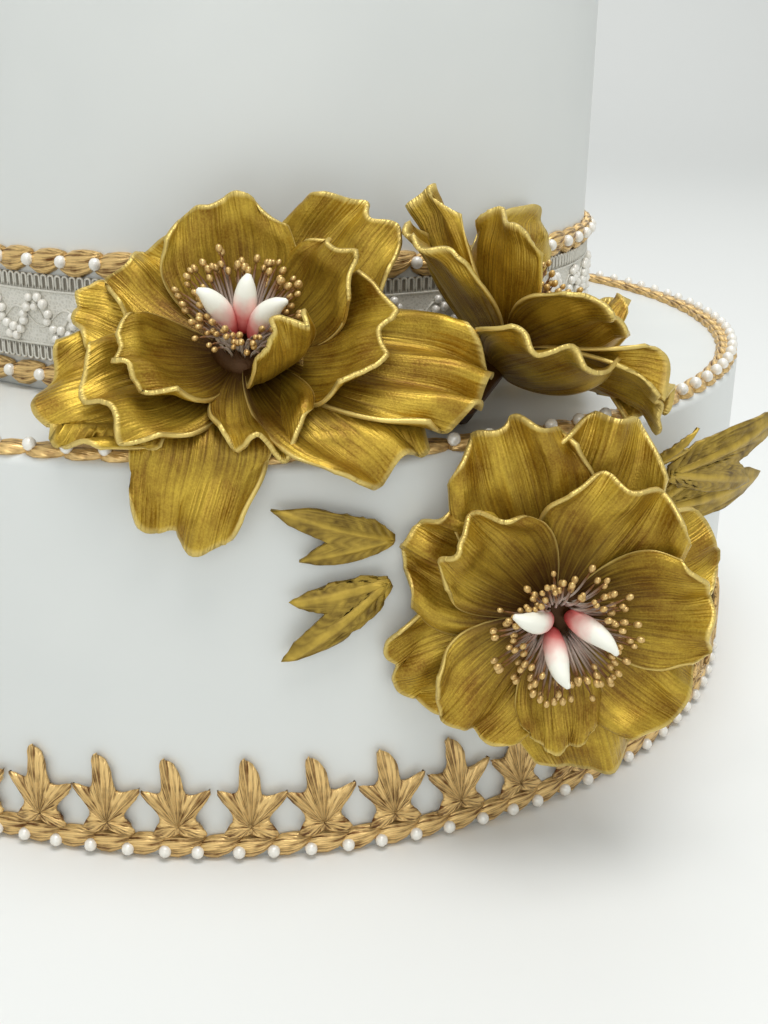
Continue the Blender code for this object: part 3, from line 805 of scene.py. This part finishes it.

# %% [markdown]
# The rim gets a painted highlight, a pale gold line where the thin edge catches the light, and the
# root gets painted shade, a deep brown where a petal comes out from under the others. The UV map
# gives both: v runs from root to rim, and how far u is from its middle is how near a spot is to a
# side.

# %% Petal rim and root: painted highlight and painted shade
petal_split = add(gold, "SeparateXYZ", {}, {"Vector": petal_uv})
petal_reach = add(
    gold, "Math", {"operation": "MULTIPLY_ADD", 1: 0.5}, {0: petal_veins, 2: petal_split.outputs["Y"]},
)
# Painted shade: the petal darkens to a deep brown towards its root, where it comes out from under the others
petal_root_shade_fade = add(
    gold, "MapRange", {"interpolation_type": "SMOOTHSTEP", "From Min": 0.25, "From Max": 1.1},
    {"Value": petal_reach},
)
petal_root_shade_mix = add(
    gold, "Mix", {"data_type": "RGBA", 6: "#432504"}, {0: petal_root_shade_fade, 7: petal_body.outputs[2]},
)
petal_centred = add(
    gold, "Math", {"operation": "MULTIPLY_ADD", 1: 2.0, 2: -1.0}, {0: petal_split.outputs["X"]},
)
petal_side = add(gold, "Math", {"operation": "ABSOLUTE"}, {0: petal_centred})
petal_far = add(gold, "Math", {"operation": "MAXIMUM"}, {0: petal_side, 1: petal_split.outputs["Y"]})
# Painted highlight: a pale gold line along the rim, where the thin edge catches the light, a little uneven
# along its length
petal_highlight_reach = add(gold, "Math", {"operation": "MULTIPLY_ADD", 1: 0.04}, {0: petal_patch, 2: petal_far})
petal_rim_highlight = add(
    gold, "MapRange", {"From Min": 0.985, "From Max": 1.015, "To Max": 0.85}, {"Value": petal_highlight_reach},
)
petal_highlight_mix = add(
    gold, "Mix", {"data_type": "RGBA", 7: "#e3c976"}, {0: petal_rim_highlight, 6: petal_root_shade_mix.outputs[2]},
)
join(gold_shader, "Base Color", petal_highlight_mix.outputs[2])
petal_crease = add(gold, "Math", {"operation": "MULTIPLY"}, {0: petal_veins, 1: petal_split.outputs["Y"]})
petal_height = add(gold, "Math", {"operation": "MULTIPLY_ADD", 1: 0.2}, {0: petal_dust, 2: petal_crease})
petal_bump = add(gold, "Bump", {"Strength": 0.7, "Distance": 0.7 * MM}, {"Height": petal_height})
join(gold_shader, "Normal", petal_bump)
print("nodes in it:", len(gold.node_tree.nodes))

# %% [markdown]
# ## How a petal bends
# A petal is a flat grid bent by a rule, the same rule and the same sizes as its plain solid: a
# midline whose slope changes evenly from root to rim, a width that opens fast, sides that cup
# and a rim that ruffles. The detailed petal adds a second, quicker ruffle, a curled lip and a
# fan of fine ridges. Where it meets the cake it bends against it.

# %% Room for the cake
BRAID_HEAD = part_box("lace_head_braid")[1].z
PEARL_ROOM = 1.75 * MM
# Over these lengths a petal eases back to the cake above a braid, inside it and over it
HEAD_EASE = 5 * MM
RIM_NEAR, RIM_FAR = 10 * MM, 18 * MM
FOOT_NEAR, FOOT_FAR = 29 * MM, 36 * MM
LOWEST = 2 * MM


def clear_of_cake(point, margin):
    """Push a point out of the tiers, braids and lace, as a petal bends against them."""
    radius = hypot(point.x, point.y)
    out = Vector((point.x, point.y, 0)) / max(radius, 1e-9)
    rim_top = LEDGE + 2 * GAP + BRAID_THICK + PEARL_ROOM
    wall = UPPER_RADIUS + GAP + margin
    wall += (BRAID_THICK + PEARL_ROOM) * smooth_step(BRAID_HEAD + HEAD_EASE, BRAID_HEAD, point.z)
    if radius < wall and point.z > LEDGE:
        radius = wall
    ledge = LEDGE + GAP + margin
    ledge += (rim_top - LEDGE) * smooth_step(LOWER_RADIUS - RIM_FAR, LOWER_RADIUS - RIM_NEAR, radius)
    foot = LOWER_RADIUS + BRAID_THICK + PEARL_ROOM + 2 * GAP + margin
    side = LOWER_RADIUS + GAP + margin
    side += (foot - side) * smooth_step(FOOT_FAR, FOOT_NEAR, point.z)
    height = point.z
    if radius < side and height < ledge:
        if side - radius < ledge - height:
            radius = side
        else:
            height = ledge
    return Vector((out.x * radius, out.y * radius, max(height, LOWEST)))


print("a braid keeps petals", round((BRAID_THICK + PEARL_ROOM) / MM, 2), "mm off the wall")

# %% Petals
PETAL_ROOT = 4 * MM
BROAD_RUFFLE = 4.2 * MM
QUICK_RUFFLE = 1.8 * MM
FAN_RIDGES = 14
RIDGE_HIGH = 0.28 * MM
LIP_DEEP = 2.6 * MM
NOTCH_SHARE = 0.11


class Petal:
    """One petal, by the clock direction it points in and how it opens.

    turn: direction round the flower, in degrees from its right hand side.
    long, wide: size in mm. low, high: slope at the root and at the rim, in degrees
    above the flower's face. cup: how far its sides bend up, in mm. wave, ripples,
    shift: height in mm, number and phase of the ruffles at the rim. roll: how much
    one side is higher than the other, from -1 to 1. drop: depth in mm of its root below
    the flower's middle.
    """

    def __init__(self, turn, long, wide, low, high, cup, wave, shift=0, ripples=2, roll=0, drop=0):
        self.turn, self.low, self.high, self.shift = map(radians, (turn, low, high, shift))
        self.long, self.wide, self.drop = long * MM, wide * MM, drop * MM
        self.cup, self.wave = cup * MM, wave * MM
        self.ripples, self.roll = ripples, roll

    def midline(self, along):
        """Distance out, height and slope at a share of the petal's length."""
        steps = 8
        out = PETAL_ROOT
        up = -self.drop
        for step in range(steps):
            slope = self.low + (self.high - self.low) * along * (step + 0.5) / steps
            out += self.long * along / steps * cos(slope)
            up += self.long * along / steps * sin(slope)
        return out, up, self.low + (self.high - self.low) * along

    def fine(self, across, along):
        """The extra height of the detailed petal: uneven ruffles, fan ridges and a rolled lip."""
        seed = self.turn * 7 + self.long / MM
        edge = max(abs(across), along)
        broad = noise.noise(Vector((across * 1.9 + seed, along * 1.0, seed)))
        quick = noise.noise(Vector((across * 3.8 + seed, along * 1.5, 9 - seed)))
        ruffle = BROAD_RUFFLE * broad * smooth_step(0.5, 1.0, edge) * along
        ruffle += QUICK_RUFFLE * quick * smooth_step(0.75, 1.0, edge) * along
        fan = noise.noise(Vector((across * FAN_RIDGES + seed, along, seed)))
        ridge = RIDGE_HIGH * fan * smooth_step(0.3, 0.8, along)
        uneven = 0.7 + 0.6 * noise.noise(Vector((across * 1.4 - seed, along * 1.4, seed)))
        lip = -LIP_DEEP * uneven * smooth_step(0.82, 1.0, edge) * along
        return ruffle + ridge + lip

    def point(self, across, along):
        """A point of the petal: across runs from -1 to 1, along from 0 to 1."""
        seed = self.turn * 7 + self.long / MM
        notch = 1 + NOTCH_SHARE * noise.noise(Vector((across * 1.9 + seed, seed, 0))) * along
        reach = along * (1 - 0.2 * abs(across) ** 3) * notch
        out, up, slope = self.midline(reach)
        spread = 0.22 + 0.78 * sin(pi / 2 * min(1.0, along / 0.72)) ** 0.8
        spread *= 1 - 0.12 * smooth_step(0.72, 1.0, along)
        side = across * self.wide / 2 * spread
        ruffle = self.wave * sin(self.ripples * pi * across + self.shift)
        lift = self.cup * across ** 2 * along + ruffle * along ** 2.5
        lift += self.roll * side * along + self.fine(across, along)
        return Vector((
            (out - lift * sin(slope)) * cos(self.turn) - side * sin(self.turn),
            (out - lift * sin(slope)) * sin(self.turn) + side * cos(self.turn),
            up + lift * cos(slope),
        ))


print("petal root:", round(PETAL_ROOT / MM), "mm from the flower's middle")

# %% [markdown]
# ## The three flowers
# Each flower faces its own way: the left one looks up out of the ledge, the right one turns to
# the side, and the lower one looks straight out of the cake's side. A table gives each petal by
# its direction, size and slopes, so that moving one petal is a change of one number.

# %% Flower tables
def flower_frame(centre, azimuth, elevation):
    """A frame at a flower's middle whose z axis is the way the flower faces."""
    facing = around(cos(radians(elevation)), azimuth, sin(radians(elevation)))
    right = Vector((0, 0, 1)).cross(facing).normalized()
    upward = facing.cross(right)
    return Matrix.Translation(centre) @ Matrix((right, upward, facing)).transposed().to_4x4()


FLOWERS = {
    "left": flower_frame(Vector((-4, -134, 122)) * MM, -92, 50),
    "right": flower_frame(Vector((60, -120, 119)) * MM, 38, 40),
    "lower": flower_frame(Vector((66.5, -159, 65)) * MM, -93, 3),
}
# Each petal's turn, length, width, slopes at root and rim, cup and wave, and then, where they
# aren't the usual ones, its shift, ripples, roll and drop
PETALS = {
    "left": [
        (99, 32, 32, 12, 72, 4, 2),
        (140, 31, 28, 5, 30, 4, 2, 60),
        (165, 35, 26, 0, 15, 3, 2, 200),
        (207, 28, 27, 8, 60, 5, 1.5),
        (-52, 34, 19, 15, 122, 3, 1, 90),
        (215, 35, 32, 2, 35, 4, 1.5, 40),
        (203, 43, 36, 2, 5, 2, 2, 120),
        (30, 32, 24, 10, 75, 4, 2, 30),
        (43, 41, 32, 5, 45, 3, 3, 150),
        (-10, 33, 34, 8, 50, 5, 1.5, 70),
        (-78, 30, 23, 8, 22, 6, 3, 180),
        (-107, 45, 30, 14, -42, 4, 3, 10),
        (-39, 43, 38, 16, -24, 3, 3, 90, 2, -0.1, -1),
        (-14, 54, 32, 12, -3, 3, 4.5, 0, 3),
    ],
    "right": [
        (62, 39, 17, 8, 36, 5, 2, 20),
        (84, 37, 25, 0, 2, 6, 2, 60, 2, -0.4, 3),
        (98, 31, 27, 15, 46, 6, 1.5, 140, 2, -0.3),
        (-4, 54, 25, 25, 88, 3, 2),
        (165, 30, 30, 5, 34, 6, 1.5, 0, 2, 0.5),
        (158, 30, 34, -12, 20, 6, 2, 90, 2, 0.55, 8),
        (205, 38, 24, 5, 28, 4, 3, 50),
        (240, 36, 26, 25, 115, 3, 2),
        (206, 38, 24, 14, 0, 2, 1.5, 180),
        (290, 36, 30, 12, 68, 4, 2, 100),
        (330, 36, 28, 12, 82, 4, 2, 30),
    ],
    "lower": [
        (107, 43, 34, -4, 8, 3, 3, 0, 3),
        (73, 43, 31, -12, 1, 3, 3, 80),
        (61, 33, 34, 4, 22, 4, 2, 30),
        (26, 37, 28, -8, 0, 3, 2.5, 120),
        (9, 33, 29, 14, 34, 4, 2.5, 200),
        (151, 33, 32, -5, 5, 3, 3, 60, 3),
        (135, 30, 28, 8, 30, 4, 2.5),
        (203, 38, 27, -8, 0, 3, 3, 90),
        (229, 31, 30, 5, 18, 3, 2.5, 150),
        (-87, 28, 20, 10, 25, 3, 1.5, 40),
        (-36, 33, 30, 8, 24, 3, 2.5),
        (-72, 40, 34, -8, -2, 3, 2.5, 60),
    ],
}

print("petals:", sum(map(len, PETALS.values())))

# %% Petal sheets
PETAL_CELLS_ACROSS = 44
PETAL_CELLS_ALONG = 32
PETAL_THICK = 1.0 * MM
PETAL_STAGGER = 0.43 * MM
CAD_PETAL_THICK = 1.3 * MM


def petal_sheets(side, dusted):
    """All petals of a flower as thin sheets, given their thickness by Solidify.

    dusted: the share of the finish, counted from the rim, that the petals show; below 1, less
    of the painted root shade shows.
    """
    bm = bmesh.new()
    bm.loops.layers.uv.new("petal")
    for number, row in enumerate(PETALS[side]):
        petal = Petal(*row)
        stand_off = CAD_PETAL_THICK + PETAL_STAGGER * (number % 4)
        made = bmesh.ops.create_grid(
            bm, x_segments=PETAL_CELLS_ACROSS, y_segments=PETAL_CELLS_ALONG, size=1, calc_uvs=True,
        )
        for vert in made["verts"]:
            place = FLOWERS[side] @ petal.point(vert.co.x, (vert.co.y + 1) / 2)
            vert.co = clear_of_cake(place, stand_off)
    # Squeezing the map towards the rim keeps part of the painted root shade off the petals
    set_uv(bm, lambda corner, old: (old.x, 1 - (1 - old.y) * dusted))
    made = piece(f"flower_{side}_petals", bm, gold, [f"flower_{side}"])
    wall = made.modifiers.new("thickness", "SOLIDIFY")
    wall.thickness = PETAL_THICK
    wall.offset = -1


# The right flower turns its back to the front, and there less of the painted root shade shows
for side, dusted in (("left", 1), ("right", 0.6), ("lower", 1)):
    petal_sheets(side, dusted)

# %% Hearts and feet of the flowers
HEART_RADIUS = 8 * MM
HEART_HEIGHT = 4.5 * MM
CALYX_FOOT = 7 * MM
CALYX_NECK = 4 * MM
CALYX_LONG = 26 * MM
# Where a petal's finish is read for the heart: in the middle of its root, so that the heart and
# its foot take the petals' painted root shade
ROOT_SHADE_SPOT = (0.5, 0.1)


def heart(side):
    """The mound the petals and stamens grow from, and the foot that reaches back to the cake."""
    bm = bmesh.new()
    bm.loops.layers.uv.new("petal")
    bmesh.ops.create_uvsphere(bm, u_segments=24, v_segments=12, radius=HEART_RADIUS)
    bmesh.ops.scale(bm, verts=bm.verts, vec=(1, 1, HEART_HEIGHT / HEART_RADIUS))
    foot = bmesh.ops.create_cone(
        bm, cap_ends=True, segments=20, radius1=CALYX_FOOT, radius2=CALYX_NECK, depth=CALYX_LONG,
    )["verts"]
    bmesh.ops.translate(bm, verts=foot, vec=(0, 0, -CALYX_LONG / 2))
    bmesh.ops.transform(bm, verts=bm.verts, matrix=FLOWERS[side])
    for vert in foot:
        vert.co = clear_of_cake(vert.co, 0)
    # The heart and its foot are coloured with the petals' painted root shade, a deep brown
    set_uv(bm, lambda corner, old: ROOT_SHADE_SPOT)
    piece(f"flower_{side}_heart", bm, gold, [f"flower_{side}"], smooth_angle=50)


for side in FLOWERS:
    heart(side)

# %% [markdown]
# ## Stamens
# The stamens are bought as bundles: stiff white threads dipped in gold at the tip, with a small
# bead of glue under gold dust on each end. They fan out of the heart in an uneven ring. Each
# thread is a thin bent tube, and each head a small drop turned along its thread.

# %% Stamen finishes
thread, thread_shader = new_finish("stiffened cotton thread dipped in gold", 0.5, 0.1)
thread_uv = add(thread, "UVMap")
thread_split = add(thread, "SeparateXYZ", {}, {"Vector": thread_uv})
thread_dip = add(
    thread, "MapRange", {"From Min": 0.4, "From Max": 0.85}, {"Value": thread_split.outputs["Y"]},
)
thread_colour = add(thread, "Mix", {"data_type": "RGBA", 6: "#e6ddd2", 7: "#7c4f1f"}, {0: thread_dip})
join(thread_shader, "Base Color", thread_colour.outputs[2])

bead, bead_shader = new_finish("gold dusted glue bead", 0.3, 0.6)
mottle(bead, bead_shader, 0.6 * MM, "#b2833a", "#ecd091")
print("finishes:", thread.name, "and", bead.name)

# %% Stamen threads and heads
STAMEN_COUNT = 112
STAMEN_THREAD = 0.3 * MM
STAMEN_HEAD = 0.82 * MM
# In mm, the least and most that a thread starts and ends out, and that it rises
STAMEN_FOOT = (3, 6)
STAMEN_REACH = (9.5, 17)
STAMEN_RISE = (11.5, 17)
STAMEN_START = 3.5 * MM
# Each flower's share of the usual spread and height, and how far its crown leans back
STAMEN_STANCE = {"left": (0.85, 1.0, 3 * MM), "right": (0.7, 1.2, 0), "lower": (1.0, 1.0, 0)}


def stamen_path(angle, reach, rise, foot, stance):
    """A thread that leaves the heart steeply and bends outward, in the flower's own frame."""
    outward = around(1, angle, 0)
    wide, tall, back = stance

    def path(share):
        out = foot + (reach - foot) * (0.55 * share + 0.45 * share ** 2)
        up = STAMEN_START + (rise - STAMEN_START) * (1.35 * share - 0.35 * share ** 2)
        return outward * out * wide + Vector((0, back * share, up * tall))

    return path


def stamens(side):
    """The threads and heads of one flower, drawn with its own seed."""
    draw = random.Random("stamens " + side)
    threads = bmesh.new()
    threads.loops.layers.uv.new("thread")
    places = []
    for number in range(STAMEN_COUNT):
        angle = 360 * number / STAMEN_COUNT + draw.uniform(-6, 6)
        reach = draw.uniform(*STAMEN_REACH) * MM
        rise = draw.uniform(*STAMEN_RISE) * MM
        foot = draw.uniform(*STAMEN_FOOT) * MM
        path = stamen_path(angle, reach, rise, foot, STAMEN_STANCE[side])
        tube(threads, path, lambda share: rounded_end(share, STAMEN_THREAD), 4, 6)
        tip = path(1.0)
        aim = (tip - path(0.9)).to_track_quat("Z", "Y").to_matrix().to_4x4()
        size = Matrix.Scale(draw.uniform(0.85, 1.15), 4)
        places.append(FLOWERS[side] @ Matrix.Translation(tip) @ aim @ size)
    weld(threads, 0.002 * MM)
    bmesh.ops.transform(threads, verts=threads.verts, matrix=FLOWERS[side])
    piece(f"stamens_{side}_threads", threads, thread, [f"stamens_{side}"])
    scatter(f"stamens_{side}_heads", stamen_head, places, bead, f"stamens_{side}")


stamen_head = ball(STAMEN_HEAD, 8, (0.9, 0.9, 1.15))
for side in FLOWERS:
    stamens(side)

# %% [markdown]
# ## Carpels
# In the middle of an open peony stand two or three carpels, plump horns that will be seed pods.
# They are modelled in white flower paste and dusted from a crimson root through pink to a
# faintly green white. The tube's UV map runs from root to tip, so the colour follows it.

# %% Carpel finish
blush, blush_shader = new_finish("white flower paste dusted with pink", 0.42)
carpel_uv = add(blush, "UVMap")
carpel_split = add(blush, "SeparateXYZ", {}, {"Vector": carpel_uv})
carpel_place = add(blush, "TexCoord").outputs["Object"]
carpel_mottle = add(blush, "TexNoise", {"Scale": 1 / (3 * MM)}, {"Vector": carpel_place})
carpel_way = add(
    blush, "Math", {"operation": "MULTIPLY_ADD", 1: 0.25},
    {0: carpel_mottle, 2: carpel_split.outputs["Y"]},
)
carpel_root = add(blush, "MapRange", {"From Min": 0.2, "From Max": 0.45}, {"Value": carpel_way})
carpel_blush = add(blush, "MapRange", {"From Min": 0.4, "From Max": 0.72}, {"Value": carpel_way})
carpel_pink = add(blush, "Mix", {"data_type": "RGBA", 6: "#c8242c", 7: "#f29a94"}, {0: carpel_root})
carpel_colour = add(
    blush, "Mix", {"data_type": "RGBA", 7: "#f4f3e6"}, {0: carpel_blush, 6: carpel_pink.outputs[2]},
)
join(blush_shader, "Base Color", carpel_colour.outputs[2])
print("finish:", blush.name)

# %% Carpel horns
CARPEL_RADIUS = 2.8 * MM
CARPEL_SHAPE = [
    (3.2 * MM, 5.2 * MM, 0.5),
    (4.6 * MM, 9.4 * MM, 0.85),
    (7 * MM, 13.8 * MM, 0.95),
    (10.4 * MM, 17 * MM, 0.65),
    (13.6 * MM, 18 * MM, 0.15),
]
# Each horn's direction, how far it leans, as a share of the usual, and how far it curls aside
CARPELS = {
    "left": [(160, 0.74, 0), (76, 0.6, 0), (-8, 0.78, 10)],
    "lower": [(152, 1.06, 0), (42, 0.82, -58), (-132, 0.78, 46)],
}


def along_table(rows, share):
    """A smooth reading between the rows of a table, at a share of the way down it."""
    place = share * (len(rows) - 1)
    number = min(int(place), len(rows) - 2)
    part = place - number
    before = rows[max(number - 1, 0)]
    after = rows[min(number + 2, len(rows) - 1)]
    first, second = rows[number], rows[number + 1]
    values = []
    for a, b, c, d in zip(before, first, second, after):
        bend = 2 * a - 5 * b + 4 * c - d + part * (3 * (b - c) + d - a)
        values.append(b + 0.5 * part * (c - a + part * bend))
    return values


def carpel(side, number, turn, lean, curl):
    """One horn, plump in the middle and curled outward at its tip."""
    bm = bmesh.new()
    bm.loops.layers.uv.new("carpel")

    def path(share):
        out, up = along_table(CARPEL_SHAPE, share)[:2]
        return around(out * lean, turn + curl * share, up)

    def thickness(share):
        thick = along_table(CARPEL_SHAPE, share)[2]
        return rounded_end(share, CARPEL_RADIUS * max(thick, 0.3), 0.1)

    tube(bm, path, thickness, 16, 24)
    weld(bm, 0.01 * MM)
    bmesh.ops.transform(bm, verts=bm.verts, matrix=FLOWERS[side])
    piece(f"carpel_{side}_{number}_horn", bm, blush, [f"carpel_{side}_{number}"])


for side, horns in CARPELS.items():
    for number, (turn, lean, curl) in enumerate(horns, 1):
        carpel(side, number, turn, lean, curl)

# %% [markdown]
# ## Gold peony leaves
# The leaves beside the lower flower are thin blades with a long lobe and a short one, each with
# a midrib and slanting veins. They are leaf blades as the ivy was, laid along the cake's side.

# %% Gold leaf finish
LEAF_GROOVE = 0.9 * MM
pressed, pressed_shader = new_finish("gold lustre dust on pressed leaf paste", 0.42, 0.45)
leaf_relief = add(pressed, "Attribute", {"attribute_name": "relief"})
leaf_place = add(pressed, "TexCoord").outputs["Object"]
leaf_cloud = add(pressed, "TexNoise", {"Scale": 1 / (4 * MM), "Detail": 4.0}, {"Vector": leaf_place})
leaf_tone = add(
    pressed, "Math", {"operation": "MULTIPLY_ADD", 1: 0.45},
    {0: leaf_relief.outputs["Fac"], 2: leaf_cloud},
)
leaf_level = add(pressed, "MapRange", {"From Min": 0.35, "From Max": 1.0}, {"Value": leaf_tone})
leaf_colour = add(pressed, "Mix", {"data_type": "RGBA", 6: "#5f470a", 7: "#c2a340"}, {0: leaf_level})
join(pressed_shader, "Base Color", leaf_colour.outputs[2])
leaf_grain = add(pressed, "TexNoise", {"Scale": 1 / LEAF_GROOVE, "Detail": 3.0}, {"Vector": leaf_place})
leaf_bump = add(pressed, "Bump", {"Strength": 0.5, "Distance": 0.25 * MM}, {"Height": leaf_grain})
join(pressed_shader, "Normal", leaf_bump)
print("finish:", pressed.name)

# %% Gold leaf blades
class Spray:
    """Where a gold leaf lies: its root and tip, each by angle, height and lift off the wall."""

    def __init__(self, root, tip, side):
        self.root, self.tip = (
            Vector((radians(angle) * LOWER_RADIUS, height * MM, lift * MM))
            for angle, height, lift in (root, tip)
        )
        self.side = side

    def point(self, along, across, raised):
        """A point of the leaf, in shares of its length, bent round the cake's side."""
        run = (self.tip - self.root).xy
        cross = Vector((-run.y, run.x)) * self.side
        place = self.root.xy + run * along + cross * across
        lift = self.root.z + (self.tip.z - self.root.z) * along + LEAF_BOW * sin(pi * along)
        lift -= abs(across) * LEAF_DROOP
        radius = LOWER_RADIUS + GAP + LEAF_THICK + max(lift, 0) + raised
        return around(radius, degrees(place.x / LOWER_RADIUS), place.y)


LEAF_THICK = 0.9 * MM
LEAF_BOW = 2 * MM
LEAF_DROOP = 6 * MM
LEAF_OUTLINE = [
    (180, 0.02), (95, 0.05), (35, 0.24), (22, 0.36), (13, 0.55), (6, 0.8), (0, 1.0), (-5, 0.84),
    (-9, 0.66), (-14, 0.52), (-20, 0.62), (-28, 0.75), (-34, 0.6), (-42, 0.4), (-60, 0.16), (-120, 0.04),
    (-180, 0.02),
]
LEAF_VEINS = [1, -27]
SPRAYS = [
    Spray((-79.5, 83, 1), (-89.6, 92, 1), -1),
    Spray((-80, 73, 1), (-88.9, 55, 1), 1),
    Spray((-54, 91, 11), (-39.5, 99.5, 19), 1),
    Spray((-54.5, 80, 6), (-38.5, 81, 14), -1),
    Spray((-56, 93, 9), (-53, 103, 16), 1),
]


def gold_leaf(number, spray):
    """A leaf blade in shares of its length, bent onto the cake and given its thickness."""
    length = (spray.tip - spray.root).xy.length
    bm = leaf_blade(
        LEAF_OUTLINE, LEAF_VEINS, 64, 16, vein_width=0.7 * MM / length, vein_pitch=2.4 * MM / length,
        relief=0.55 * MM, crown=0,
    )
    for vert in bm.verts:
        vert.co = spray.point(vert.co.x, vert.co.y, vert.co.z)
    bmesh.ops.recalc_face_normals(bm, faces=bm.faces)
    made = piece(f"gold_leaf_{number}_blade", bm, pressed, [f"gold_leaf_{number}"])
    made.modifiers.new("thickness", "SOLIDIFY").thickness = LEAF_THICK


for number, spray in enumerate(SPRAYS, 1):
    gold_leaf(number, spray)
